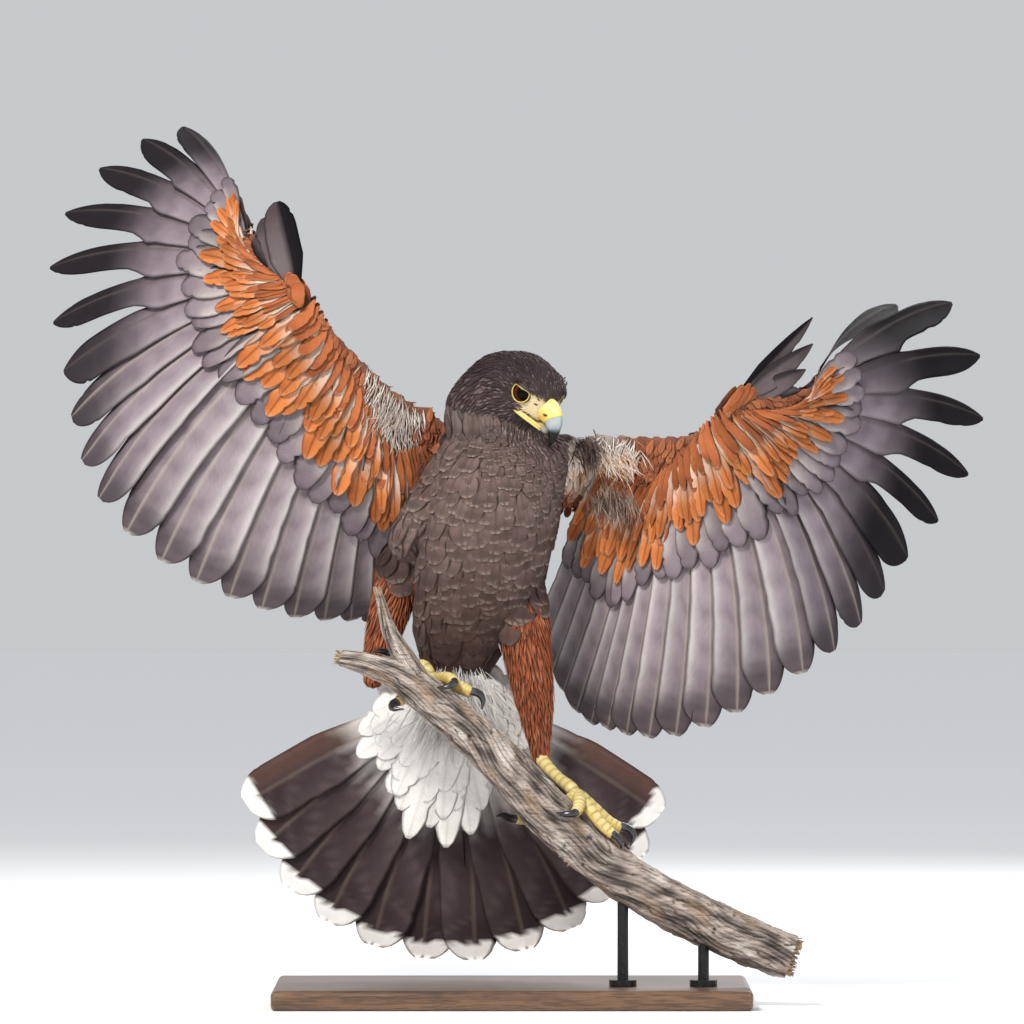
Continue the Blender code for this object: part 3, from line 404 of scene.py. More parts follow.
def add_quill(gather, line, normals, leads, widths, rolls, colour, random,
              rib=0.75, camber=0.10, thickness=0.32, notch=0.16, columns=QUILL_COLUMNS, curl=0.0):
    """widths: (leading, trailing) at each station. colour(s, u, under) gives tints on a grid."""
    stations = len(line)
    line, normals, leads = (np.array([list(v) for v in a], float) for a in (line, normals, leads))
    s = np.linspace(0, 1, stations)
    tangent = unit(np.gradient(line, axis=0))
    normals = unit(normals - tangent * (normals * tangent).sum(1, keepdims=True))
    leads = unit(leads - tangent * (leads * tangent).sum(1, keepdims=True)
                 - normals * (leads * normals).sum(1, keepdims=True))
    turn = np.radians(rolls)[:, None]
    edge = leads * np.cos(turn) - normals * np.sin(turn)
    up = normals * np.cos(turn) + leads * np.sin(turn)
    ragged = split_edges(random, stations, notch)
    lead_w = np.array([w[0] for w in widths]) * ragged[0]
    trail_w = np.array([w[1] for w in widths]) * ragged[1]
    u = columns[None, :] * np.ones((stations, 1))
    reach = np.where(u > 0, u * lead_w[:, None], u * trail_w[:, None])
    half = np.maximum(lead_w, trail_w)[:, None]
    wave = 0.012 * np.sin(9 * s[:, None] + random.uniform(0, 6) + u * 2)
    dish = camber * (reach / half) ** 2 * half * 0.9 + wave * half + curl * s[:, None] ** 3 * half
    spine = rib * np.exp(-((reach / 1.15) ** 2)) * (1.15 - s[:, None])
    slim = thickness * (1 - 0.55 * np.abs(u)) * (1.1 - 0.6 * s[:, None])
    base = line[:, None] + edge[:, None] * reach[..., None]
    face = base + up[:, None] * (dish + slim / 2 + spine)[..., None]
    back = base + up[:, None] * (dish - slim / 2 - spine * 0.6)[..., None]
    for c in (0, -1):
        face[:, c] = back[:, c] = base[:, c] + up * dish[:, c, None]
    grid_s = s[:, None] * np.ones_like(u)
    length = np.linalg.norm(np.diff(line, axis=0), axis=1).sum()
    vane = np.stack([reach / 100, grid_s * length / 100], axis=-1)
    size = np.array([0.42 / BAKE_GRID, 0.94 / BAKE_GRID])
    add_blades(gather, face[None], back[None], colour(grid_s, u, True)[None], colour(grid_s, u, False)[None],
               vane[None], gather.next_cells(), size, True)


print("quill columns", len(QUILL_COLUMNS), "stations", QUILL_STATIONS)

# %% [markdown]
# ## Feather and horn materials
# The blades carry their own colours, so one shader group can serve every feather: it reads the tint,
# draws fine slanted barbs from the vane's own map, breaks the colour a little, and gives a bump.

# %% Shader groups
def new_material(name):
    material = bpy.data.materials.new(name)
    material.use_nodes = True
    return material, material.node_tree, material.node_tree.nodes["Principled BSDF"]


def link(tree, a, b):
    tree.links.new(a, b)


def math_node(tree, kind, a, b=None, clamp=False):
    node = tree.nodes.new("ShaderNodeMath")
    node.operation = kind
    node.use_clamp = clamp
    for slot_index, value in enumerate((a, b)):
        if value is None:
            continue
        if isinstance(value, (int, float)):
            node.inputs[slot_index].default_value = value
        else:
            link(tree, value, node.inputs[slot_index])
    return node.outputs[0]


def mix_colour(tree, share, a, b, mode="MIX"):
    node = tree.nodes.new("ShaderNodeMix")
    node.data_type = "RGBA"
    node.blend_type = mode
    for socket, value in ((node.inputs["Factor"], share), (node.inputs["A"], a), (node.inputs["B"], b)):
        target = socket
        if socket.name in ("A", "B"):
            target = [s for s in node.inputs if s.name == socket.name and s.type == "RGBA"][0]
        if isinstance(value, (int, float)):
            target.default_value = value
        elif isinstance(value, tuple):
            target.default_value = (*value, 1.0)
        else:
            link(tree, value, target)
    return [s for s in node.outputs if s.type == "RGBA"][0]


def noise(tree, vector, scale, detail=3.0, roughness=0.55):
    node = tree.nodes.new("ShaderNodeTexNoise")
    node.inputs["Scale"].default_value = scale
    node.inputs["Detail"].default_value = detail
    node.inputs["Roughness"].default_value = roughness
    link(tree, vector, node.inputs["Vector"])
    return node.outputs["Fac"]


def ramp(tree, value, stops):
    node = tree.nodes.new("ShaderNodeValToRGB")
    elements = node.color_ramp.elements
    while len(elements) < len(stops):
        elements.new(0.5)
    for element, (place, colour) in zip(elements, stops):
        element.position = place
        element.color = (*colour, 1.0)
    link(tree, value, node.inputs["Fac"])
    return node.outputs["Color"]


def object_place(tree):
    return tree.nodes.new("ShaderNodeTexCoord").outputs["Object"]


def point_data(tree, name):
    node = tree.nodes.new("ShaderNodeAttribute")
    node.attribute_name = name
    return node.outputs


def combine(tree, *values):
    node = tree.nodes.new("ShaderNodeCombineXYZ")
    for value, socket in zip(values, node.inputs):
        link(tree, value, socket)
    return node.outputs[0]


def stretched(tree, scale, turn=0.0):
    """The object's place, drawn out along x after a turn in degrees about y."""
    lay = tree.nodes.new("ShaderNodeMapping")
    lay.inputs["Rotation"].default_value = (0, math.radians(turn), 0)
    lay.inputs["Scale"].default_value = (scale, 1.0, 1.0)
    link(tree, object_place(tree), lay.inputs["Vector"])
    return lay.outputs[0]


def finish_shader(tree, shader, colour, height, strength, distance, **values):
    """Joins colour and relief to the shader and sets the sockets that are named."""
    link(tree, colour, shader.inputs["Base Color"])
    for name, value in values.items():
        shader.inputs[name.replace("_", " ")].default_value = value
    relief = tree.nodes.new("ShaderNodeBump")
    relief.inputs["Strength"].default_value = strength
    relief.inputs["Distance"].default_value = distance
    link(tree, height, relief.inputs["Height"])
    link(tree, relief.outputs["Normal"], shader.inputs["Normal"])


def make_barb_group():
    """Tint with barbs: takes the strength of the barbs, gives a colour and a height."""
    group = bpy.data.node_groups.new("feather barbs", "ShaderNodeTree")
    group.interface.new_socket("Barb strength", in_out="INPUT", socket_type="NodeSocketFloat")
    group.interface.new_socket("Colour", in_out="OUTPUT", socket_type="NodeSocketColor")
    group.interface.new_socket("Height", in_out="OUTPUT", socket_type="NodeSocketFloat")
    entry, leave = group.nodes.new("NodeGroupInput"), group.nodes.new("NodeGroupOutput")
    vane = group.nodes.new("ShaderNodeUVMap")
    vane.uv_map = "vane"
    parts = group.nodes.new("ShaderNodeSeparateXYZ")
    link(group, vane.outputs["UV"], parts.inputs[0])
    across = math_node(group, "ABSOLUTE", parts.outputs["X"])
    slant = math_node(group, "SUBTRACT", parts.outputs["Y"], math_node(group, "MULTIPLY", across, 1.1))
    fine = math_node(group, "SINE", math_node(group, "MULTIPLY", slant, 1150.0))
    lay = combine(group, math_node(group, "MULTIPLY", slant, 90.0), math_node(group, "MULTIPLY", across, 6.0))
    streak = noise(group, lay, 2.2, 3.0, 0.6)
    broad = math_node(group, "SUBTRACT", noise(group, object_place(group), 60.0, 2.0), 0.5)
    value = math_node(group, "MULTIPLY", math_node(group, "SUBTRACT", streak, 0.5), entry.outputs[0])
    value = math_node(group, "ADD", value, math_node(group, "MULTIPLY", fine, 0.045))
    value = math_node(group, "ADD", value, math_node(group, "MULTIPLY", broad, 0.4))
    value = math_node(group, "ADD", value, 1.0)
    grey = combine(group, value, value, value)
    colour = mix_colour(group, 1.0, point_data(group, "tint")["Color"], grey, "MULTIPLY")
    link(group, colour, leave.inputs["Colour"])
    height = math_node(group, "ADD", math_node(group, "MULTIPLY", fine, 0.25), streak)
    link(group, height, leave.inputs["Height"])
    return group


BARBS = make_barb_group()


def feather_material(name, barb_strength, roughness, sheen, bump, gloss):
    material, tree, shader = new_material(name)
    group = tree.nodes.new("ShaderNodeGroup")
    group.node_tree = BARBS
    group.inputs["Barb strength"].default_value = barb_strength
    finish_shader(tree, shader, group.outputs["Colour"], group.outputs["Height"], bump, 0.0004,
                  Roughness=roughness, Sheen_Weight=sheen, Sheen_Roughness=0.4, Specular_IOR_Level=gloss)
    return material


QUILL_MATERIAL = feather_material("quills", 0.6, 0.6, 0.0, 0.5, 0.06)
COAT_MATERIAL = feather_material("coat feathers", 0.9, 0.75, 0.02, 0.6, 0.10)
FLUFF_MATERIAL = feather_material("fluff", 0.6, 0.9, 0.06, 0.4, 0.05)
print("feather materials:", [m.name for m in (QUILL_MATERIAL, COAT_MATERIAL, FLUFF_MATERIAL)])

# %% [markdown]
# ## Flight feathers
# Each of the 46 quills is laid on its own ray. The outer primaries narrow into fingers. Below they are
# silver grey with faint bars and a pale inner edge, above dark brown. The outermost ones are turned a
# little about their shafts, as the bird twists its hands while braking.

# %% Lay the flight feathers
SEED = 20
random = np.random.default_rng(SEED)
QUILL_S = np.concatenate([np.linspace(0.01, 0.84, QUILL_STATIONS - 10), np.linspace(0.865, 1.0, 10)])


def flight_width(i, s):
    full = 41.0 if i >= FIRST_PRIMARY else 39.0
    if i < 4:
        full = 30.0 + 2.2 * i
    width = full * min(1.0, 0.3 + 3.2 * s)
    if i >= 17:
        fall = soft(0.40, 0.60, s)
        width += (25.0 - full) * fall
    start = 0.84 if i < 16 else 0.84 - 0.12 * soft(16, 19, i)
    if s > start:
        width *= max(0.05, 1 - ((s - start) / (1.003 - start)) ** 2) ** (0.5 if i < 16 else 0.72)
    return width


EXTRA_ROLL = {"right": {22: 12}, "left": {22: -26, 21: -14, 20: -4}}


def flight_colour(side, i, random):
    """Tints over a quill's grid: s along it, u across it with the leading edge at +1."""
    primary = i >= FIRST_PRIMARY
    silver = (0.262, 0.214, 0.246) if primary else (0.30, 0.25, 0.276)
    if side == "left":
        silver = tuple(c * (1 - 0.60 * soft(18.0, 21.5, i)) for c in silver)
    deep = (0.015, 0.012, 0.015) if side == "right" else (0.008, 0.006, 0.008)
    dusk = soft(13.0, 17.5, i) if side == "right" else soft(12.0, 16.5, i)
    phase = random.uniform(0, 6)
    shade = random.uniform(0.9, 1.1)

    def colour(s, u, under):
        if not under:
            base = blend((0.052, 0.031, 0.024), (0.024, 0.016, 0.015), ease(0.3, 0.9, s))
            base = blend(base, (0.075, 0.05, 0.04), 0.5 * ease(0.2, 0.9, -u) * (1 - ease(0.5, 0.8, s)))
            return base * shade
        base = blend(silver, tuple(0.50 * c for c in silver), ease(0.35, 1.0, s))
        bars = 0.5 + 0.5 * np.sin(s * 62 + phase + 3 * np.abs(u))
        base = blend(base, (0.15, 0.115, 0.14), 0.42 * ease(0.55, 0.9, bars) * ease(0.05, 0.3, s))
        pale = ease(0.45, 0.95, -u) * (1 - ease(0.55, 0.95, s))
        base = blend(base, (0.56, 0.52, 0.52), 0.75 * pale * (1 - 0.8 * dusk))
        base = blend(base, (0.11, 0.085, 0.095), 0.75 * ease(0.1, 0.95, u))
        base = blend(base, (0.09, 0.07, 0.075), 0.55 * ease(0.90, 0.99, -u) * ease(0.2, 0.5, s))
        dark_from = 0.72 - 0.30 * dusk - (0.14 * soft(19.0, 21.5, i) if side == "left" else 0)
        base = blend(base, deep, (0.5 + 0.5 * dusk) * ease(dark_from - 0.16, dark_from + 0.14, s))
        if not primary:
            base = blend(base, (0.13, 0.1, 0.11), 0.5 * ease(0.84, 0.9, s) * (1 - ease(0.955, 0.975, s)))
            base = blend(base, (0.5, 0.45, 0.42), 0.8 * ease(0.965, 0.985, s))
        shaft = np.exp(-((u / 0.07) ** 2))
        return blend(base * shade, (0.42, 0.36, 0.31) if dusk < 0.5 else (0.09, 0.07, 0.065), 0.55 * shaft)

    return colour


def louvre(spacing, clearance=2.3):
    return math.degrees(math.asin(min(0.5, clearance / max(spacing, 0.1))))


def lay_flight(gather, side, i):
    wing = WINGS[side]
    share = 0.26 if i >= FIRST_PRIMARY else 0.36
    line, normals, leads, widths, rolls = [], [], [], [], []
    for s in QUILL_S:
        normal, across, spacing = fan_frame(wing, i, s)
        full = min(flight_width(i, s), 1.34 * max(spacing, 4.0))
        line.append(shaft_point(wing, i, s))
        normals.append(normal)
        leads.append(across)
        widths.append((full * share, full * (1 - share)))
        twist = EXTRA_ROLL[side].get(i, 0) * soft(0.25, 0.6, s)
        rolls.append(louvre(spacing) + twist)
    add_quill(gather, line, normals, leads, widths, rolls, flight_colour(side, i, random), random,
              rib=0.95, camber=0.06, thickness=0.36, notch=0.05)


for side in WINGS:
    gather = Gather()
    for i in range(FEATHERS):
        lay_flight(gather, side, i)
    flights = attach(gather.build(f"flight_feathers_{side}", QUILL_MATERIAL), "root")

# %% [markdown]
# ## Wing coverts
# Rows of shorter feathers lie over the quills' bases on both faces. Below, the greater row is grey with
# dark rims and the median rows are orange with pale tips. Above, they are dark brown and chestnut.

# %% Lay the rows of coverts
COVERT_S = np.concatenate([np.linspace(0, 0.72, 9), np.linspace(0.78, 1.0, 7)])
COVERT_COLUMNS = np.array([-1.0, -0.8, -0.5, -0.2, 0.0, 0.2, 0.55, 1.0])


def grey_covert(s, u):
    base = blend((0.33, 0.28, 0.29), (0.21, 0.17, 0.195), ease(0.2, 0.85, s))
    rim = ease(0.72, 0.98, np.maximum(np.abs(u), (s - 0.55) * 2.2))
    base = blend(base, (0.075, 0.055, 0.06), 0.72 * rim)
    return blend(base, (0.52, 0.46, 0.44), 0.6 * ease(0.3, 0.8, -u) * (1 - ease(0.5, 0.8, s)))


def orange_covert(s, u):
    base = blend((0.66, 0.52, 0.42), (0.52, 0.17, 0.052), ease(0.16, 0.55, s - 0.10 * np.abs(u)))
    base = blend(base, (0.36, 0.082, 0.024), 0.65 * ease(0.45, 0.85, s) * ease(-0.5, 0.6, u))
    base = blend(base, (0.70, 0.40, 0.22), 0.5 * ease(0.9, 1.0, s))
    return blend(base, (0.13, 0.034, 0.014), 0.7 * np.exp(-((u / 0.10) ** 2)))


def rust_covert(s, u):
    base = blend((0.40, 0.12, 0.045), (0.31, 0.085, 0.032), ease(0.3, 0.9, s))
    return blend(base, (0.55, 0.26, 0.13), 0.5 * ease(0.86, 1.0, np.maximum(s, np.abs(u) * 0.96)))


def brown_covert(s, u):
    base = blend((0.05, 0.03, 0.024), (0.04, 0.024, 0.02), s)
    return blend(base, (0.16, 0.075, 0.04), 0.5 * ease(0.88, 1.0, np.maximum(s, np.abs(u) * 0.95)))


def chestnut_covert(s, u):
    base = blend((0.07, 0.035, 0.024), (0.24, 0.066, 0.026), ease(0.15, 0.6, s))
    return blend(base, (0.36, 0.14, 0.07), 0.4 * ease(0.88, 1.0, s))


# face, count, start past the bone, length, width, lift at the root and the tip, colour
ROWS = {
    "arm": [
        (1, 16, 4, 84, 30, 2.6, 5.4, grey_covert), (1, 21, -2, 62, 21, 4.4, 8.2, orange_covert),
        (1, 25, -8, 50, 17, 6.0, 10.6, orange_covert), (1, 29, -13, 36, 13, 6.6, 11.4, rust_covert),
        (-1, 15, 4, 88, 34, 2.6, 5.6, brown_covert), (-1, 17, -5, 62, 28, 4.2, 8.0, brown_covert),
        (-1, 22, -9, 46, 19, 5.8, 9.6, chestnut_covert), (-1, 28, -14, 34, 14, 6.4, 10.4, chestnut_covert),
    ],
    "hand": [
        (1, 11, 4, 84, 29, 2.6, 5.2, grey_covert), (1, 17, 0, 58, 17, 4.0, 7.6, orange_covert),
        (1, 19, -4, 43, 14, 5.4, 9.6, orange_covert), (1, 24, -7, 29, 10, 6.2, 9.8, rust_covert),
        (-1, 11, 4, 90, 30, 2.6, 5.4, brown_covert), (-1, 12, 0, 60, 25, 4.0, 7.6, brown_covert),
        (-1, 16, -4, 38, 17, 5.4, 9.0, brown_covert), (-1, 22, -7, 27, 11, 6.2, 9.4, chestnut_covert),
    ],
}
ROW_REACH = {
    ("right", "arm"): (-0.2, 12.3), ("right", "hand"): (12.9, 22.2),
    ("left", "arm"): (-0.2, 12.3), ("left", "hand"): (12.9, 20.8),
}


def lay_row(gather, side, part, row):
    face, count, start, length, width, lift_root, lift_tip, tint = row
    wing = WINGS[side]
    first, last = ROW_REACH[side, part]
    if abs(start) > 5:
        last = min(last, 21.2)
    step = (last - first) / (count - 1)
    for k in range(count):
        i = first + step * k + random.uniform(-0.12, 0.12) * step
        loose = 1.0 if tint in (orange_covert, rust_covert) else 0.35
        long = length * (1 + loose * random.uniform(-0.2, 0.2)) * (1 - 0.22 * soft(17, 22, i))
        shade = random.uniform(0.74, 1.22)
        skew = loose * random.uniform(-7.0, 7.0)
        tilt = loose * random.uniform(-9, 9)
        line, normals, leads, widths, rolls = [], [], [], [], []
        for s in COVERT_S:
            place = (start + long * s) / ray(wing, i)[2]
            normal, across, spacing = fan_frame(wing, i, place)
            lift = face * (lift_root + (lift_tip - lift_root) * s)
            full = min(width, 1.9 * max(spacing, 3.0) * step) * min(1.0, 0.2 + 2.2 * s)
            if s > 0.58:
                full *= math.sqrt(max(0.02, 1 - ((s - 0.58) / 0.425) ** 2))
            line.append(shaft_point(wing, i, place) + normal * lift + across * (skew * s))
            normals.append(normal)
            leads.append(across)
            widths.append((full * 0.47, full * 0.53))
            rolls.append(louvre(spacing * step, 1.7) + tilt * s)

        def colour(s, u, under):
            return tint(s, u) * shade

        add_quill(gather, line, normals, leads, widths, rolls, colour, random, rib=0.4, camber=0.12 * face,
                  thickness=0.26, notch=0.22, columns=COVERT_COLUMNS)


for side in WINGS:
    for face, word in ((1, "under"), (-1, "upper")):
        gather = Gather()
        for part, rows in ROWS.items():
            for row in rows:
                if row[0] == face:
                    lay_row(gather, side, part, row)
        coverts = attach(gather.build(f"{word}_coverts_{side}", COAT_MATERIAL), "root")

# %% [markdown]
# ## Thumb feathers
# The alula is a small fan of three or four stiff quills on the thumb, black outside and brown grey
# inside. Small rusty and chestnut coverts lie over their roots.

# %% Lay the alulae
def lay_thumb(gather, side):
    wing = WINGS[side]
    normal = wing_normal(wing, FIRST_PRIMARY)
    along = (smooth_at(wing["edge"], 22) - smooth_at(wing["edge"], WRIST)).normalized()
    rows = [(0, k, 0.0, 1.0, 1.0) for k in range(len(wing["thumb_quills"]))]
    rows += [(face, k * 0.4, -9.0 - 3 * (k % 3), 0.26, 0.42) for face in (1, -1) for k in range(-3, 7)]
    for face, k, start, shorter, narrower in rows:
        front, sweep, length, width = wing["thumb_quills"][max(0, int(k))]
        direction = direction_of(front, sweep)
        across = direction.cross(normal)
        across *= -math.copysign(1, across.dot(along))
        root = Vector(wing["thumb"]) + along * (6.5 * k) + direction * start + normal * (4.4 * face)
        line, widths = [], []
        for s in COVERT_S:
            sunk = normal * (1.4 * k * min(1.0, 4 * s))
            line.append(root + direction * (length * shorter * s) - sunk + across * (3 * s * s))
            full = width * narrower * min(1.0, 0.3 + 2.0 * s)
            point = wing["thumb_point"] if face == 0 else 0.6
            if s > point:
                full *= max(0.04, 1 - ((s - point) / (1.004 - point)) ** 2) ** (0.5 if point > 0.5 else 0.8)
            widths.append((full * 0.45, full * 0.55))

        def colour(s, u, under):
            if face:
                return rust_covert(s, u) if face > 0 else chestnut_covert(s, u)
            if not under:
                return blend((0.04, 0.026, 0.024), (0.03, 0.02, 0.018), s)
            base = blend((0.13, 0.105, 0.11), (0.060, 0.046, 0.05), ease(0.2, 0.9, s))
            dark = ease(-0.25, 0.25, u) if k == 0 else 0.75 * ease(0, 0.6, u)
            return blend(base, (0.007, 0.006, 0.008), dark)

        add_quill(gather, line, [normal] * len(line), [across] * len(line), widths, [4.0] * len(line), colour,
                  random, rib=0.5, camber=0.08, thickness=0.32, notch=0.08, columns=COVERT_COLUMNS)


for side in WINGS:
    gather = Gather()
    lay_thumb(gather, side)
    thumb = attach(gather.build(f"thumb_feathers_{side}", QUILL_MATERIAL), "root")
    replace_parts(thumb, f"wing_{side}_alula")

# %% [markdown]
# ## Tail
# Twelve broad feathers fan down from the rump, blackish brown with a white band at the tip and a white
# base. The middle pair lies furthest back.

# %% Lay the tail
def hanging(angle, lean):
    """The way down, turned to the side by one angle and to the back by another."""
    return Vector((math.sin(angle), math.cos(angle) * math.sin(lean), -math.cos(angle) * math.cos(lean)))


TAIL_ROOT, TAIL_LEAN = Vector((-45, 30, 252)), math.radians(11)
TAIL_S = np.concatenate([np.linspace(0.035, 0.80, 18), np.linspace(0.83, 1.0, 12)])


def lay_tail_feather(gather, k):
    share = k / 11
    angle = math.radians(-61 + 119 * share)
    off = abs(share - 0.5) * 2
    length = 226 - 32 * off * off
    direction = hanging(angle, TAIL_LEAN)
    layer = abs(k - 5.5) - 0.5 + (0.5 if share > 0.5 else 0.0)
    if off < 0.1 and share < 0.5:
        layer = -0.3
    normal = Vector((0, -math.cos(TAIL_LEAN), -math.sin(TAIL_LEAN)))
    outward = direction.cross(normal)
    if outward.x * (k - 5.5) < 0:
        outward = -outward
    line, widths, rolls = [], [], []
    step = math.radians(119 / 11)
    for s in TAIL_S:
        line.append(TAIL_ROOT + direction * (length * s) + normal * (layer * 1.5 - 3.0 * s * s)
                    + outward * (4 * s * (1 - s) * 3))
        full = 47 * min(1.0, 0.12 + 1.45 * s)
        if s > 0.87:
            full *= math.sqrt(max(0.06, 1 - ((s - 0.87) / 0.138) ** 2))
        widths.append((full * 0.42, full * 0.58))
        rolls.append(0.4 * louvre(length * s * step) if s > 0.1 and layer > 0.5 else 0.0)
    tip = 1 - 31 / length
    outer = soft(0.72, 0.95, off)
    shade = random.uniform(0.88, 1.14)
    wobble = random.uniform(0, 6)

    def colour(s, u, under):
        dark = blend((0.052, 0.036, 0.040), (0.036, 0.025, 0.029), ease(0.3, 0.9, s))
        bars = ease(0.55, 0.95, np.sin(s * 33 + 5 * u + wobble)) * ease(-0.3, 0.5, -u)
        dark = blend(dark, (0.16, 0.125, 0.13), 0.28 * bars)
        if not under:
            dark = dark * 0.6
        dark = blend(dark, (0.115, 0.062, 0.048), 0.75 * outer * ease(-0.2, 0.6, u))
        dark = blend(dark, (0.10, 0.075, 0.075), 0.35 * ease(0.2, 0.9, -u))
        border = tip + 0.012 * np.sin(14 * u + wobble) + 0.012 * np.cos(5 * u)
        white = ease(-0.006, 0.010, s - border)
        base_white = (1 - ease(0.26, 0.40 + 0.04 * np.sin(9 * u + wobble), s))
        tint = blend(dark * shade, (0.93, 0.91, 0.89), white)
        tint = blend(tint, (0.72, 0.68, 0.66), 0.95 * base_white)
        return blend(tint, (0.16, 0.12, 0.10), 0.5 * np.exp(-((u / 0.06) ** 2)) * (1 - white))

    add_quill(gather, line, [normal] * len(line), [outward] * len(line), widths, rolls, colour, random,
              rib=0.9, camber=0.05, thickness=0.34, notch=0.05)


gather = Gather()
for k in range(12):
    lay_tail_feather(gather, k)
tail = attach(gather.build("tail_feathers", QUILL_MATERIAL), "root")
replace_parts(tail, "tail")

# %% [markdown]
# ## One skin under the coat
# Torso, neck, head, thighs and wing flesh are lofted a little smaller than the solids, so that the coat
# has room. They are joined, melted into one surface by a voxel remesh and smoothed, so no seam shows
# where a leg or wing leaves the body.

# %% Parts of the body
TORSO = [
    (-7, 17, 460, 32, 24), (-6, 10, 447, 53, 41), (-9, 4, 424, 57, 52), (-16, 3, 388, 57, 57),
    (-23, 6, 354, 56, 55), (-30, 12, 322, 52, 48), (-39, 18, 294, 42, 38), (-43, 24, 270, 30, 27),
    (-45, 28, 252, 20, 18),
]
NECK = [
    (-7, 8, 450, 47, 37), (-11, 3, 468, 46, 38), (-13, -2, 484, 42.5, 37), (-10, -5, 498, 36.5, 33),
    (-6, -7, 509, 30, 27), (-3, -8, 517, 23, 20), (-1, -9, 520.8, 12.5, 11.5),
]
FLANK = [
    (-46, 20, 450, 12, 14), (-50, 18, 432, 17, 22), (-57, 16, 410, 22, 28), (-65, 14, 390, 26, 30),
    (-73, 14, 374, 25, 28), (-78, 15, 362, 19, 22), (-80, 17, 354, 12, 14),
]
SKULL = [
    (-41, 10, 11, -5), (-36, 19, 20, -4), (-25, 25, 26, -2), (-11, 26.5, 27.5, -1),
    (3, 25.5, 25.5, 0), (13, 21.5, 21, -1), (20, 16.5, 16.5, -2.5), (25, 12, 12.5, -4),
]
BROW = [
    (22, 10.6, 4.2, 1.8), (16, 17.0, 8.6, 2.7), (8, 20.2, 11.4, 3.4),
    (-2, 21.4, 12.2, 3.7), (-12, 20.4, 11.5, 2.4),
]
THIGHS = {
    "right": [
        (-58, 28, 378, 24), (-84, 30, 352, 24), (-97, 30, 316, 19), (-106, 26, 284, 15), (-112, 18, 254, 9),
    ],
    "left": [(0, 14, 338, 27), (8, 4, 306, 24), (12, 0, 280, 21.5), (18, -5, 242, 17.5), (22, -9, 206, 10.5),
             (24, -12, 190, 7)],
}
HEAD_CENTRE = Vector((16.5, -24, 489))
YAW, PITCH = math.radians(40), math.radians(30)
AHEAD = Vector((math.sin(YAW) * math.cos(PITCH), -math.cos(YAW) * math.cos(PITCH), -math.sin(PITCH)))
LEFT = Vector((math.cos(YAW), math.sin(YAW), 0))
HEAD = Matrix.Translation(HEAD_CENTRE) @ Matrix((AHEAD, LEFT, AHEAD.cross(LEFT))).transposed().to_4x4()
HEAD_BACK = HEAD.inverted()


def oval(centre, across, up, half_width, half_height, count, power=2.0):
    points = []
    for k in range(count):
        angle = 2 * math.pi * k / count
        c, s = math.cos(angle), math.sin(angle)
        c = math.copysign(abs(c) ** (2 / power), c)
        s = math.copysign(abs(s) ** (2 / power), s)
        points.append(Vector(centre) + across * (half_width * c) + up * (half_height * s))
    return points


def tube_rings(stations, count, grow=0.0):
    """Rings round a path of (x, y, z, radius)."""
    centres = [Vector(s[:3]) for s in stations]
    rings, side = [], None
    for k, centre in enumerate(centres):
        tangent = (centres[min(k + 1, len(centres) - 1)] - centres[max(k - 1, 0)]).normalized()
        side = tangent.orthogonal() if side is None else side - tangent * side.dot(tangent)
        side = side.normalized()
        radius = stations[k][3] + grow
        rings.append(oval(centre, side, tangent.cross(side), radius, radius, count))
    return rings


def finer(keys, per_span):
    """More stations on a smooth curve through the given ones."""
    table = dict(enumerate(keys))
    count = (len(keys) - 1) * per_span
    made = []
    for k in range(count + 1):
        made.append(tuple(
            smooth_at({i: (row[part], 0, 0) for i, row in table.items()}, k / per_span)[0]
            for part in range(len(keys[0]))
        ))
    return made


def wing_rings(wing, grow):
    rings = []
    stations = [tuple(Vector(p) for p in wing["shoulder"]) + (None,)]
    for i in np.linspace(0, 22.4, 24):
        stations.append((smooth_at(wing["edge"], i), bone_point(wing, i), i))
    for edge, bone, i in stations:
        at = 0 if i is None else i
        chord, normal = ray(wing, at)[1], wing_normal(wing, at)
        past = max(0.0, at - WRIST)
        if past:
            hand = (bone_point(wing, 22) - bone_point(wing, WRIST)).normalized()
            wrist_chord = ray(wing, WRIST)[1]
            across = (wrist_chord - hand * wrist_chord.dot(hand)).normalized()
            square = hand.cross(across) * -math.copysign(1, hand.cross(across).y)
            turned = min(1.0, past / 4)
            chord = wrist_chord.lerp(across, turned).normalized()
            normal = wing_normal(wing, WRIST).lerp(square, turned).normalized()
        reach = 30 - 22 * past / 10
        thick = 1 - 0.35 * past / 10
        near, far = edge.lerp(bone, 0.3), bone + chord * reach
        inward = (bone - edge).normalized() * -grow
        rings.append([
            edge + inward, near + normal * (5.4 + grow) * thick, bone + normal * (6.4 + grow) * thick,
            far + normal * 1.2, far - normal * 1.2, bone - normal * (6.4 + grow) * thick,
            near - normal * (5.4 + grow) * thick,
        ])
    return rings


def add_loft(bm, rings, closed_ends=True):
    """A tube through rings of points in millimetres. Gives its loops of points and its ends' middles."""
    loops = [[bm.verts.new(Vector(p) * MM) for p in ring] for ring in rings]
    count = len(loops[0])
    for a, b in zip(loops, loops[1:]):
        for k in range(count):
            m = (k + 1) % count
            bm.faces.new((a[k], a[m], b[m], b[k]))
    middles = []
    for loop in (loops[0], loops[-1]) if closed_ends else ():
        middle = bm.verts.new(sum((v.co for v in loop), Vector()) / count)
        middles.append(middle)
        for k in range(count):
            bm.faces.new((loop[k], loop[(k + 1) % count], middle))
    return loops, middles


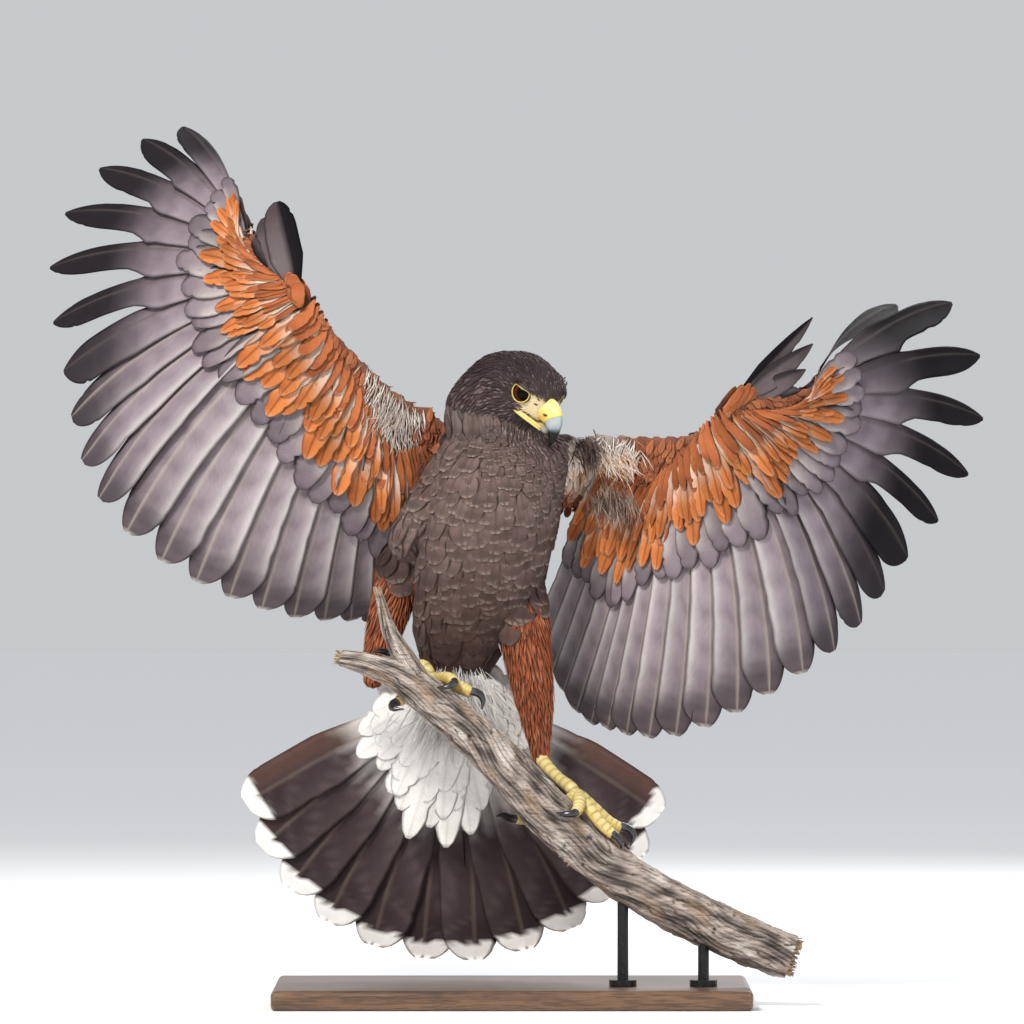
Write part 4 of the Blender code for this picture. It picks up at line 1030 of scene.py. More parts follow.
def ball_rings(centre, radii, count=16, levels=9):
    rings = []
    for k in range(1, levels):
        angle = math.pi * k / levels
        middle = Vector(centre) + Vector((0, 0, radii[2] * math.cos(angle)))
        wide = math.sin(angle)
        broad, deep = radii[0] * wide, radii[1] * wide
        rings.append(oval(middle, Vector((1, 0, 0)), Vector((0, 1, 0)), broad, deep, count))
    return rings


def level_rings(stations, grow, power):
    return [
        oval(s[:3], Vector((1, 0, 0)), Vector((0, 1, 0)), s[3] + grow, s[4] + grow, 28, power)
        for s in stations
    ]


def skull_rings(grow):
    rings = []
    for x, half_width, half_height, height in finer(SKULL, 3):
        wide, tall = half_width + grow, half_height + grow
        ring = oval((x, 0, height), Vector((0, 1, 0)), Vector((0, 0, 1)), wide, tall, 28, 2.1)
        rings.append([HEAD @ p for p in ring])
    return rings


def brow_rings(side):
    path = [(x, side * y, z, r) for x, y, z, r in BROW]
    return [[HEAD @ p for p in ring] for ring in tube_rings(finer(path, 3), 10)]


PART_RINGS = {
    "torso": [level_rings(finer(TORSO, 3), -4.5, 2.15), level_rings(finer(FLANK, 3), -1, 2.0),
              ball_rings((-45, 15, 262), (19, 8, 19))],
    "neck": [level_rings(finer(NECK, 3), -4.0, 2.1)],
    "head": [skull_rings(-1.8), brow_rings(1), brow_rings(-1)],
    "thigh_right": [tube_rings(finer(THIGHS["right"], 3), 20, -3.0)],
    "thigh_left": [tube_rings(finer(THIGHS["left"], 3), 20, -3.0)],
    "wing_right": [wing_rings(WINGS["right"], -1.8), ball_rings((-36, 20, 440), (24, 20, 26))],
    "wing_left": [wing_rings(WINGS["left"], -1.8), ball_rings((36, 20, 430), (24, 20, 26))],
    "tail": [ball_rings((-45, 34, 250), (21, 8, 24))],
}
PART_NAMES = list(PART_RINGS)
part_trees = []
whole = bmesh.new()
for name, groups in PART_RINGS.items():
    alone = bmesh.new()
    for rings in groups:
        add_loft(alone, rings)
        add_loft(whole, rings)
    part_trees.append(BVHTree.FromBMesh(alone))
    alone.free()
bmesh.ops.recalc_face_normals(whole, faces=whole.faces)
skin_mesh = bpy.data.meshes.new("skin")
whole.to_mesh(skin_mesh)
whole.free()
skin = bpy.data.objects.new("skin", skin_mesh)
scene.collection.objects.link(skin)
print("body parts:", PART_NAMES)

# %% Melt the parts into one skin
EYE_PLACES = {side: HEAD @ Vector((8.5, side * 17, 4)) for side in (1, -1)}


def apply_modifier(obj, kind, **settings):
    bpy.ops.object.select_all(action="DESELECT")
    bpy.context.view_layer.objects.active = obj
    obj.select_set(True)
    modifier = obj.modifiers.new(kind.lower(), kind)
    for key, value in settings.items():
        setattr(modifier, key, value)
    bpy.ops.object.modifier_apply(modifier=modifier.name)


apply_modifier(skin, "REMESH", mode="VOXEL", voxel_size=0.0021)
apply_modifier(skin, "SMOOTH", factor=0.6, iterations=6)
skin.data.shade_smooth()


def press_in_sockets(mesh):
    """Pushes the skin in behind each eye, so that the ball sits in a socket."""
    count = len(mesh.vertices)
    flat = np.empty(count * 3, np.float32)
    mesh.vertices.foreach_get("co", flat)
    points = flat.reshape(-1, 3) / MM
    for side in (1, -1):
        outward = np.array(HEAD.to_3x3() @ Vector((0.24, side, 0.06)).normalized())
        offset = points - np.array(EYE_PLACES[side])
        depth = offset @ outward
        across = np.linalg.norm(offset - depth[:, None] * outward, axis=1)
        inside = (across < 10.5) & (depth > 0)
        floor = 3.2 * ease(6.8, 9.6, across)
        push = np.where(inside, np.maximum(depth - floor - 1.0, 0) * (1 - ease(8.6, 10.5, across)), 0)
        points = points - push[:, None] * outward
    mesh.vertices.foreach_set("co", (points * MM).astype(np.float32).ravel())
    mesh.update()


press_in_sockets(skin.data)
print("skin faces", len(skin.data.polygons))

# %% [markdown]
# ## Markings
# One function gives the colour of skin and coat at any place, from broad regions: dark brown back and
# head, a paler scaled breast, rufous thighs and shoulders, white under and over the tail's root.

# %% Colour of the coat by place
def part_of(point):
    best, nearest = 0, 1e9
    for k, tree in enumerate(part_trees):
        hit = tree.find_nearest(point * MM)
        if hit[3] < nearest:
            best, nearest = k, hit[3]
    return best


def nearest_index(wing, point):
    """Feather index whose bone point lies nearest."""
    found = min(wing["table"], key=lambda row: (row[1] - point).length)
    return found[0]


for wing in WINGS.values():
    wing["table"] = [
        (i, bone_point(wing, i) * 0.5 + smooth_at(wing["edge"], i) * 0.5) for i in np.linspace(0, 22, 45)
    ]
DARK = np.array((0.060, 0.037, 0.034))
RUST = np.array((0.33, 0.098, 0.042))
WHITE = np.array((0.80, 0.76, 0.72))


def coat_colour(points, normals, part):
    """Base colours for points of one part of the body."""
    x, y, z = points.T
    front = 1 - ease(-0.5, 0.2, normals[:, 1])
    name = PART_NAMES[part]
    if name == "head":
        colour = blend((0.078, 0.052, 0.053), (0.052, 0.033, 0.038), ease(488, 512, z))
        # Painted shadow: the lowest band of the head, at the chin under the bill, is darkened as the bill's
        # shadow on the throat.
        return blend(colour, (0.036, 0.024, 0.024), 0.7 * (1 - ease(462, 474, z)))
    if name in ("torso", "neck"):
        colour = blend((0.110, 0.066, 0.058), (0.158, 0.106, 0.098), ease(320, 410, z))
        colour = blend(colour, (0.150, 0.108, 0.100), ease(440, 470, z))
        colour = blend((0.042, 0.025, 0.021), colour, 0.2 + 0.8 * front)
        edge = 274 + 26 * ease(-0.1, 0.4, normals[:, 1])
        return blend(WHITE, colour, ease(edge - 8, edge + 8, z))
    if name.startswith("thigh"):
        streak = 0.5 + 0.5 * np.sin(z * 0.55 + x * 0.23)
        return blend((0.27, 0.072, 0.031), (0.36, 0.108, 0.05), ease(0.2, 0.9, streak))
    if name == "tail":
        return np.tile(WHITE, (len(points), 1))
    wing = WINGS["right" if name.endswith("right") else "left"]
    index = np.array([nearest_index(wing, Vector(p)) for p in points])
    colour = blend((0.30, 0.095, 0.045), (0.42, 0.15, 0.07), 0.5 + 0.5 * np.sin(index * 2.1 + z * 0.2))
    back = ease(-0.1, 0.5, normals[:, 1])
    colour = blend(colour, (0.20, 0.058, 0.026), back)
    colour = blend(colour, (0.10, 0.05, 0.035), 0.5 * back * ease(10, 20, index))
    pale = (1 - back) * (1 - ease(0.5, 2.0, index)) * ease(405, 425, z)
    if name.endswith("right"):
        pale = pale * ease(70, 84, -points[:, 0]) * 0.6
    return blend(colour, (0.66, 0.54, 0.46), pale)


def skin_arrays(mesh):
    points = np.empty(len(mesh.vertices) * 3, np.float32)
    normals = np.empty(len(mesh.vertices) * 3, np.float32)
    mesh.vertices.foreach_get("co", points)
    mesh.vertices.foreach_get("normal", normals)
    return points.reshape(-1, 3) / MM, normals.reshape(-1, 3)


skin_points, skin_normals = skin_arrays(skin.data)
skin_parts = np.array([part_of(Vector(p)) for p in skin_points])
above_collar = skin_points[:, 2] > 466 - 0.38 * (np.minimum(skin_points[:, 0], 12) + 2)
core = np.isin(skin_parts, [PART_NAMES.index(n) for n in ("head", "neck", "torso")])
skin_parts[core & above_collar] = PART_NAMES.index("head")
skin_parts[(skin_parts == PART_NAMES.index("head")) & ~above_collar] = PART_NAMES.index("neck")
skin_tint = np.zeros((len(skin_points), 3))
for part in range(len(PART_NAMES)):
    chosen = skin_parts == part
    if chosen.any():
        skin_tint[chosen] = coat_colour(skin_points[chosen], skin_normals[chosen], part) * 0.55


def near_line(local, a, b):
    t = np.clip(((local - a) @ (b - a)) / ((b - a) @ (b - a)), 0, 1)
    return np.linalg.norm(local - (a + t[:, None] * (b - a)), axis=1)


in_head = (np.c_[skin_points, np.ones(len(skin_points))] @ np.array(HEAD_BACK).T)[:, :3]
for side in (1, -1):
    lore = near_line(in_head, np.array((15.0, side * 18, 0)), np.array((27.0, side * 9, -6)))
    fore_lore = near_line(in_head, np.array((16.0, side * 17, 3)), np.array((24.0, side * 10, 1)))
    lore = np.minimum(lore, fore_lore + 1)
    below = near_line(in_head, np.array((12.0, side * 17.5, -8)), np.array((27.0, side * 8.5, -12)))
    bare_share = np.maximum(1 - ease(4.0, 7.0, lore), 1 - ease(3.0, 6.0, below)) * (in_head[:, 1] * side > 3)
    skin_tint = blend(skin_tint, (0.74, 0.60, 0.34), bare_share * 0.95)
attribute = skin.data.attributes.new("tint", "FLOAT_COLOR", "POINT")
attribute.data.foreach_set("color", np.c_[skin_tint, np.ones(len(skin_tint))].astype(np.float32).ravel())
print("points per part", {PART_NAMES[k]: int((skin_parts == k).sum()) for k in range(len(PART_NAMES))})

# %% Unwrap the skin and finish it
bpy.ops.object.select_all(action="DESELECT")
bpy.context.view_layer.objects.active = skin
skin.select_set(True)
bpy.ops.object.mode_set(mode="EDIT")
bpy.ops.mesh.select_all(action="SELECT")
bpy.ops.uv.smart_project(angle_limit=math.radians(66), island_margin=0.002)
bpy.ops.object.mode_set(mode="OBJECT")
skin.data.uv_layers[0].name = "OFBake"
skin_faces = [tuple(p.vertices) for p in skin.data.polygons]
skin_tree = BVHTree.FromPolygons([Vector(p) for p in skin_points], skin_faces)
corner_uv = np.empty(len(skin.data.loops) * 2, np.float32)
skin.data.uv_layers["OFBake"].data.foreach_get("uv", corner_uv)
first_corner = np.empty(len(skin_faces), np.int32)
skin.data.polygons.foreach_get("loop_start", first_corner)
face_uv = corner_uv.reshape(-1, 2)[first_corner]

skin_material, tree, shader = new_material("skin")
grain = noise(tree, object_place(tree), 900.0, 4.0)
pores = ramp(tree, grain, [(0.3, (0.3, 0.3, 0.3)), (0.7, (1, 1, 1))])
shade = mix_colour(tree, 0.5, point_data(tree, "tint")["Color"], pores, "MULTIPLY")
finish_shader(tree, shader, shade, grain, 0.5, 0.0005, Roughness=0.8)
skin.data.materials.append(skin_material)
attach(skin, "root")
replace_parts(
    skin, "head", "neck", "torso", "leg_right_thigh", "leg_left_thigh", "wing_right_arm", "wing_right_hand",
    "wing_left_arm", "wing_left_hand", "undertail_coverts",
)
print("skin unwrapped")

# %% [markdown]
# ## Planting the coat
# Roots are spread evenly over the skin by rejection: a random point is kept only if no kept one is too
# near. Feathers are tiny round the bill and grow towards the body. Each one follows the lie of the
# coat there and is draped on the skin, rising towards its tip so that it covers the next.

# %% Spread the roots
COAT_SEED = 7
random = np.random.default_rng(COAT_SEED)
PART_SPACING = {
    "thigh_right": 2.5, "thigh_left": 2.5, "wing_right": 3.9, "wing_left": 3.9, "tail": 5.0,
}


def random_points(count):
    """Points on the skin with their normals, evenly by area."""
    faces = np.array(skin_faces)
    a, b, c, d = (skin_points[faces[:, k]] for k in range(4))
    area = np.linalg.norm(np.cross(c - a, d - b), axis=1)
    chosen = random.choice(len(faces), count, p=area / area.sum())
    s, t = random.random((2, count, 1))
    points = (a[chosen] * (1 - s) + b[chosen] * s) * (1 - t) + (d[chosen] * (1 - s) + c[chosen] * s) * t
    normals = skin_normals[faces[chosen]].mean(axis=1)
    return points, unit(normals), skin_parts[faces[chosen, 0]], face_uv[chosen]


BILL_ROOT = HEAD @ Vector((24, 0, -5))


def growth(point, name):
    """Spacing and length of the feathers by their distance from the bill, small on the face."""
    far = (point - BILL_ROOT).length
    big = 0.0 if name == "head" else soft(26, 84, far)
    gap = (1.45 + 0.019 * min(far, 64)) * (1 - big) + 7.2 * big
    length = (2.6 + 0.085 * min(far, 64)) * (1 - big) + (24 + 7 * soft(70, 150, far)) * big
    return gap, length, big


def downy(point, normal, name):
    """True where the wing pit carries soft down in place of small coverts."""
    x, z = point[0], point[2]
    ragged = 5 * math.sin(0.21 * z + 0.13 * x) + 3 * math.sin(0.83 * x - 0.31 * z)
    ragged += 2 * math.sin(1.7 * z + 0.9 * x)
    if x < 0:
        inside = 76 < -x + ragged < 116 and z + ragged > 452
    else:
        inside = 56 < x + ragged < 100 and z + ragged > 430
    return name.startswith("wing") and inside and normal[1] < 0.15


def spread(count):
    points, normals, parts, uvs = random_points(count)
    cell = 3.7
    grid, kept = {}, []
    for k in range(count):
        name = PART_NAMES[parts[k]]
        gap = growth(Vector(points[k]), name)[0] if name in ("head", "neck", "torso") else PART_SPACING[name]
        if downy(points[k], normals[k], name):
            gap = 1.8
        x, y, z = key = tuple((points[k] // cell).astype(int))
        reach = range(-int(gap // cell) - 1, int(gap // cell) + 2)
        near = (
            points[other] - points[k] for dx, dy, dz in itertools.product(reach, repeat=3)
            for other in grid.get((x + dx, y + dy, z + dz), ())
        )
        if all(offset @ offset >= gap * gap for offset in near):
            grid.setdefault(key, []).append(k)
            kept.append(k)
    kept = np.array(kept)
    return points[kept], normals[kept], parts[kept], uvs[kept]


roots, root_normals, root_parts, root_uvs = spread(150000)
print("roots", len(roots), {PART_NAMES[k]: int((root_parts == k).sum()) for k in range(len(PART_NAMES))})

# %% The lie of the coat
BILL_BASE = Vector((30, 0, -6))


def lie_at(point, name):
    """Direction in which the feathers point at a place of the named part."""
    if name == "head":
        local = HEAD_BACK @ point
        way = HEAD.to_3x3() @ (local - BILL_BASE + Vector((0, 0, -4))).normalized()
        down = Vector((0, 0.1, -1))
        way = way.lerp(down, 0.55 * soft(14, 40, -local.x + 0.5 * abs(local.y) - 0.2 * local.z))
        for place in EYE_PLACES.values():
            offset = place - point
            near = 1 - soft(11.5, 19.0, offset.length)
            if near > 0:
                toward = offset.normalized()
                way -= toward * (max(0.0, way.dot(toward)) * 1.25 * near)
        return way.normalized()
    if name in ("torso", "neck"):
        way = Vector((0, 0.06, -1))
        if point.y > 25:
            way = Vector((0, 0.25, -1))
        side = (point.x + 18) / 60
        return (way + Vector((0.22 * side, 0, 0))).normalized()
    if name.startswith("thigh"):
        path = THIGHS[name[6:]]
        spans = list(zip(path, path[1:]))
        a, b = min(spans, key=lambda s: ((Vector(s[0][:3]) + Vector(s[1][:3])) / 2 - point).length)
        return ((Vector(b[:3]) - Vector(a[:3])).normalized() + Vector((0, 0.12, 0))).normalized()
    if name == "tail":
        return Vector((0.4 * (point.x + 45) / 20, 0.15, -1)).normalized()
    wing = WINGS[name[5:]]
    return ray(wing, nearest_index(wing, point))[1]


def drape(points, ways, lengths, stations, low, high):
    """Lays each feather's middle line along the skin, rising from low to high above it."""
    n, count = len(points), len(stations)
    centre, normal = np.zeros((n, count, 3)), np.zeros((n, count, 3))
    for k in range(n):
        place, way = Vector(points[k]), Vector(ways[k])
        last = stations[0]
        here, facing, _, _ = skin_tree.find_nearest(place)
        for j, s in enumerate(stations):
            way = (way - facing * way.dot(facing)).normalized()
            step = here + way * (lengths[k] * (s - last))
            found, new_facing, _, _ = skin_tree.find_nearest(step)
            if new_facing.dot(facing) > 0.35:
                here, facing = found, (facing * 0.5 + new_facing * 0.5).normalized()
            else:
                here = step
            last = s
            lift = low[k] + (high[k] - low[k]) * s
            centre[k, j], normal[k, j] = here + facing * lift, facing
    return centre, normal


THREE_COLUMNS = np.array([-1.0, 0.0, 1.0])


def blade_batch(gather, centre, normal, half_width, camber, thickness, columns, tints, uvs, fray, rng):
    """Closed thin blades along draped lines. half_width: (n, stations). tints: (n, stations, columns, 3)."""
    n, count = centre.shape[:2]
    tangent = unit(np.gradient(centre, axis=1))
    side = unit(np.cross(normal, tangent))
    u = np.asarray(columns)[None, None, :]
    reach = u * half_width[..., None]
    base = centre[:, :, None] + side[:, :, None] * reach[..., None]
    dish = -camber * u * u * half_width[..., None]
    slim = thickness * (1 - np.abs(u)) + 0 * reach
    spread_tip = rng.uniform(-1, 1, (n, 1, len(columns))) * fray[:, None, None]
    late = np.clip((np.linspace(0, 1, count) - 0.7) / 0.3, 0, 1)[None, :, None] ** 2
    base = base + tangent[:, :, None] * (spread_tip * late)[..., None]
    face = base + normal[:, :, None] * (dish + slim / 2 + 0.02)[..., None]
    back = base + normal[:, :, None] * (dish - slim / 2)[..., None]
    face[:, :, 0], face[:, :, -1] = back[:, :, 0], back[:, :, -1]
    along = np.linalg.norm(np.diff(centre, axis=1), axis=2).sum(1)
    s = np.linspace(0, 1, count)[None, :, None]
    vane = np.stack([reach / 100, s * along[:, None, None] / 100 + 0 * reach], axis=-1)
    bakes = np.stack([uvs, uvs], axis=1)
    add_blades(gather, face, back, tints, tints * 0.8, vane, bakes, np.array([0.003, 0.003]), False)


print("coat helpers ready")

# %% Plant the body, head, thigh and wing feathers
def arc_width(stations, widest=0.55, base=0.35, tip=0.30):
    """Half-width profile of a rounded feather, as a share of its greatest half width."""
    s = np.asarray(stations)
    rise = base + (1 - base) * ease(0, widest, s)
    fall = np.sqrt(np.clip(1 - ((s - widest) / (1.0 - widest + 0.03)) ** 2, tip * tip, 1))
    return np.where(s > widest, fall, rise)


COAT_KINDS = {
    # stations, columns, length, half width, lift at the root and the tip, thickness, camber, fray
    "face": (5, 3, 1.0, 0.17, 0.10, 0.95, 0.11, 0.15, 0.4),
    "ruff": (8, 7, 1.0, 0.36, 0.20, 2.0, 0.13, 0.18, 0.16),
    "breast": (10, 9, 1.0, 0.40, 0.30, 2.5, 0.13, 0.14, 0.16),
    "down": (7, 3, 11, 0.6, 0.4, 3.6, 0.12, 0.10, 0.8),
    "thigh": (6, 3, 13, 1.15, 0.2, 1.9, 0.13, 0.10, 0.8),
    "wing": (6, 5, 11, 3.0, 0.3, 1.9, 0.14, 0.15, 0.5),
    "tail": (7, 5, 26, 6.0, 0.3, 4.0, 0.20, 0.20, 1.6),
}
PIECE_LIMIT = 180000


def coat_tints(kind, points, normals, parts, stations, columns, rng):
    """Tints of every blade of a part, over its grid of stations and columns."""
    n = len(points)
    s = np.linspace(0, 1, stations)[None, :, None]
    u = np.asarray(columns)[None, None, :]
    base = np.zeros((n, 3))
    for part in np.unique(parts):
        rows = parts == part
        base[rows] = coat_colour(points[rows], normals[rows], part)
    base = base * rng.uniform(0.78, 1.2, (n, 1)) * (1 + rng.uniform(-0.025, 0.025, (n, 3)))
    base = np.broadcast_to(base[:, None, None], (n, stations, len(columns), 3))
    round_edge = np.maximum(np.abs(u) * (0.55 + 0.45 * s), s)
    if kind in ("breast", "ruff"):
        z, y = points[:, 2], normals[:, 1]
        fringe = (1 - ease(-0.45, 0.15, y)) * ease(300, 345, z) * (1 - 0.25 * ease(430, 480, z))
        fringe = (fringe * rng.uniform(0.5, 1.0, n))[:, None, None]
        made = blend(base, base * 0.62, ease(0.55, 0.84, round_edge) * (1 - ease(0.86, 0.93, round_edge)))
        made = blend(made, (0.37, 0.285, 0.245), 0.95 * fringe * ease(0.90, 0.97, round_edge))
        return blend(made, base * 0.55, 0.7 * np.exp(-((u / 0.12) ** 2)) + 0 * s)
    if kind == "face":
        cheek = (1 - ease(-0.6, 0.1, normals[:, 1])) * (1 - ease(494, 504, points[:, 2]))
        pale = (rng.random(n) < 0.08 + 0.30 * cheek)[:, None, None] * ease(0.2, 0.8, s)
        return blend(base * 0.85, base * 1.8 + 0.03, 0.85 * pale + 0 * u)
    if kind == "thigh":
        pale = (rng.random(n) < 0.16)[:, None, None]
        made = blend(base * 0.6, base, ease(0, 0.5, s) + 0 * u)
        made = blend(made, (0.50, 0.24, 0.13), 0.5 * pale * ease(0.2, 0.9, s) + 0 * u)
        dark = (rng.random(n) < 0.10)[:, None, None]
        return blend(made, (0.12, 0.035, 0.02), 0.8 * dark + 0 * s + 0 * u)
    if kind == "down":
        shade = np.where(points[:, 0] > 0, rng.random(n) ** 2.2, rng.random(n) ** 0.8)
        tone = blend(np.array((0.90, 0.83, 0.78)), np.array((0.38, 0.28, 0.23)), shade)
        warm = (points[:, 0] > 0) * (1 - ease(430, 448, points[:, 2])) * 0.85
        tone = blend(tone, np.array((0.70, 0.31, 0.115)), warm)[:, None, None]
        return blend(tone * 0.65, tone, ease(0, 0.5, s) + 0 * u)
    if kind == "wing":
        made = blend(base, base * 0.5, 0.6 * np.exp(-((u / 0.2) ** 2)) + 0 * s)
        return blend(made, base * 1.35 + 0.03, 0.5 * ease(0.8, 1.0, round_edge))
    return blend(base * 0.75, base, ease(0, 0.6, s) + 0 * u)


def plant(kind, name, chosen, rng):
    """Makes the coat pieces of one kind from the chosen roots."""
    stations, column_count, length, half, low, high, thick, camber, fray = COAT_KINDS[kind]
    columns = np.linspace(-1, 1, column_count)
    points, normals, uvs, parts = roots[chosen], root_normals[chosen], root_uvs[chosen], root_parts[chosen]
    n = len(points)
    size = rng.uniform(0.86, 1.16, n)
    lengths = size * length
    wide = size * half
    if kind in ("face", "ruff", "breast"):
        lengths = size * np.array([growth(Vector(p), PART_NAMES[k])[1] for p, k in zip(points, parts)])
        wide = lengths * half
        if kind == "face":
            size = size * (0.45 + lengths / 14)
    ways = []
    stray = {"thigh": 0.10, "face": 0.07, "tail": 0.25, "wing": 0.16, "down": 0.24}.get(kind, 0.14)
    for point, part in zip(points, parts):
        way = lie_at(Vector(point), PART_NAMES[part])
        ways.append((way + Vector(rng.normal(0, stray, 3))).normalized())
    grid = np.linspace(0, 1, stations)
    lows, highs = low * size, high * size * rng.uniform(0.8, 1.25, n)
    centre, normal = drape(points, ways, lengths, grid, lows, highs)
    shape = np.sin(math.pi * (0.15 + 0.82 * grid)) if kind in ("thigh", "down") else arc_width(grid)
    widths = wide[:, None] * shape[None]
    tints = coat_tints(kind, points, normals, parts, stations, columns, rng)
    per_blade = 2 * (stations - 1) * (column_count - 1 + 2) + 2 * (column_count - 1)
    chunk = max(1, PIECE_LIMIT // per_blade)
    material = FLUFF_MATERIAL if kind in ("tail", "thigh", "down") else COAT_MATERIAL
    for k, start in enumerate(range(0, n, chunk)):
        rows = slice(start, start + chunk)
        gather = Gather()
        blade_batch(gather, centre[rows], normal[rows], widths[rows], camber, thick, columns, tints[rows],
                    uvs[rows], fray * size[rows], rng)
        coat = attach(gather.build(f"coat_{name}_{k}", material), "root")


def bare(point):
    """True where the real head has no feathers: the eye, the lores and the bill's base."""
    local = HEAD_BACK @ point
    if (local - Vector((26, 0, -7))).length < 12.5:
        return True
    for side in (1, -1):
        eye = Vector((9.8, side * 20, 3.6))
        if (local - eye).length < 8.2:
            return True
        a, b = Vector((14, side * 19, 0)), Vector((26, side * 9.5, -7))
        t = max(0.0, min(1.0, (local - a).dot(b - a) / (b - a).length_squared))
        if (local - a.lerp(b, t)).length < 5.0:
            return True
        if (local - Vector((19, side * 14.5, 2))).length < 4.0:
            return True
        gape = Vector((9, side * 16, -12.5))
        if (local - gape).length < 3.0:
            return True
    return False


def kind_of(part, point, normal):
    name = PART_NAMES[part]
    if downy(point, normal, name):
        return "down"
    if name in ("head", "neck", "torso"):
        big = growth(point, name)[2]
        return "face" if big < 0.12 else "ruff" if big < 0.9 else "breast"
    return name.split("_")[0]


covered = np.array([(Vector(q) - BILL_ROOT).length < 60 and bare(Vector(q)) for q in roots])
kinds = np.array([kind_of(p, Vector(q), n) for p, q, n in zip(root_parts, roots, root_normals)])
for kind in ("face", "ruff", "breast", "tail", "down"):
    plant(kind, kind, np.flatnonzero((kinds == kind) & ~covered), random)
for name in ("thigh_right", "thigh_left", "wing_right", "wing_left"):
    chosen = np.flatnonzero((root_parts == PART_NAMES.index(name)) & (kinds != "down"))
    plant(name.split("_")[0], name, chosen, random)

# %% [markdown]
# ## White down and loose feathers
# Under the tail hang five tiers of broad white feathers, and four more lie over its upper root.
# Where the wings meet
# the body there are tufts of white down and, on the viewer's right, ragged dark hair-like feathers.

# %% Undertail coverts
COVERTS_ROOT = Vector((-45, 13.5, 262))
COVERTS_FAN = {-64: 86, -46: 98, -30: 120, -15: 130, 0: 138, 15: 112, 30: 92, 62: 72}
COVERTS_LEAN = math.radians(8)


def down_colour(s, u, under):
    base = blend((0.66, 0.62, 0.60), (0.86, 0.84, 0.81), ease(0.05, 0.5, s))
    grey = 0.4 * np.exp(-((u / 0.16) ** 2)) + 0.25 * ease(0.75, 1.0, np.abs(u))
    return blend(base, (0.50, 0.47, 0.47), grey)


gather = Gather()
down_normal = Vector((0, -math.cos(COVERTS_LEAN), -math.sin(COVERTS_LEAN)))
RUMP_ROOT = Vector((-45, 35, 272))
for count, long_share, lift, width in (
    (17, 1.0, 2.0, 27), (17, 0.84, 3.6, 27), (16, 0.68, 5.4, 26), (14, 0.52, 7.2, 25), (11, 0.38, 8.6, 22),
    (13, 0.76, -2.0, 25), (12, 0.62, -4.0, 24), (11, 0.48, -6.0, 22), (9, 0.34, -8.0, 20),
):
    root = COVERTS_ROOT if lift > 0 else RUMP_ROOT
    for k in range(count):
        angle = -64 + 124 * k / (count - 1) + random.uniform(-3, 3)
        turn = math.radians(angle)
        way = hanging(turn, COVERTS_LEAN)
        across = way.cross(down_normal)
        reach = smooth_at({a: (b, 0, 0) for a, b in COVERTS_FAN.items()}, angle)[0] * long_share
        reach *= random.uniform(0.9, 1.08)
        line, widths = [], []
        skew = random.uniform(-5, 5)
        for s in COVERT_S:
            bulge = math.sin(math.pi * min(1.0, s * 1.1)) * 2.5
            rise = lift + math.copysign(bulge, lift)
            line.append(root + way * (8 + (reach - 8) * s) + down_normal * rise + across * (skew * s * s))
            full = width * min(1.0, 0.25 + 1.6 * s)
            if s > 0.6:
                full *= math.sqrt(max(0.02, 1 - ((s - 0.6) / 0.405) ** 2))
            widths.append((full * 0.5, full * 0.5))
        add_quill(gather, line, [down_normal] * len(line), [across] * len(line), widths,
                  [random.uniform(2, 7)] * len(line), down_colour, random, rib=0.35,
                  camber=-0.10 * math.copysign(1, lift), thickness=0.3,
                  notch=0.30, columns=COVERT_COLUMNS)
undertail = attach(gather.build("undertail_feathers", FLUFF_MATERIAL), "root")

# %% Tufts of loose strands
def strands(gather, feet, ways, lengths, widths, tints, sag, rng):
    """Thin free-standing blades from points, each bending down a little on its way."""
    s = np.linspace(0, 1, 7)
    n = len(feet)
    ways = unit(ways)
    bend = rng.normal(0, 0.12, (n, 3)) + np.array([0, 0, -sag])
    along = ways[:, None] * s[:, None] + bend[:, None] * s[:, None] ** 2
    centre = feet[:, None] + along * lengths[:, None, None]
    normal = unit(np.cross(ways, rng.normal(0, 1, (n, 3))) + np.array([-0.2, -1.4, 0.5]))
    normal = np.repeat(normal[:, None], 7, axis=1)
    shape = np.array([0.5, 0.9, 1.0, 0.95, 0.8, 0.55, 0.1])
    grown = np.repeat(tints[:, None], 7, axis=1)[:, :, None].repeat(3, axis=2)
    grown = grown * (0.72 + 0.28 * ease(0, 0.6, s))[None, :, None, None]
    places = np.array([face_uv[skin_tree.find_nearest(Vector(foot))[2]] for foot in feet])
    blade_batch(gather, centre, normal, widths[:, None] * shape, 0.15, 0.14, THREE_COLUMNS, grown,
                places, np.full(n, 1.0), rng)


def front_of_skin(x, z):
    hit = skin_tree.ray_cast(Vector((x, -300, z)), Vector((0, 1, 0)))
    return hit[0]


TUFTS = [
    # centre x, z, spread x, z, count, way, length, half width, colours, sag, depth when no skin is behind
    (-96, 470, 13, 9, 90, (-0.55, 0.0, -0.7), 11, 0.30, ((0.78, 0.68, 0.60), (0.46, 0.34, 0.27)), 0.35, 4),
    (82, 438, 15, 9, 150, (0.60, 0.0, -0.6), 12, 0.30, ((0.95, 0.88, 0.82), (0.74, 0.42, 0.22)), 0.35, 4),
    (80, 404, 15, 9, 380, (0.25, 0.05, -0.9), 13, 0.36, ((0.10, 0.052, 0.038), (0.50, 0.38, 0.31)), 0.3, -4),
    (58, 444, 8, 8, 130, (0.45, 0.0, -0.8), 11, 0.7, ((0.085, 0.055, 0.05), (0.17, 0.115, 0.10)), 0.3, 4),
    (-70, 426, 4, 12, 110, (-0.45, 0.0, -0.9), 12, 0.4, ((0.16, 0.062, 0.036), (0.33, 0.10, 0.045)), 0.25, 4),
]
gather = Gather()
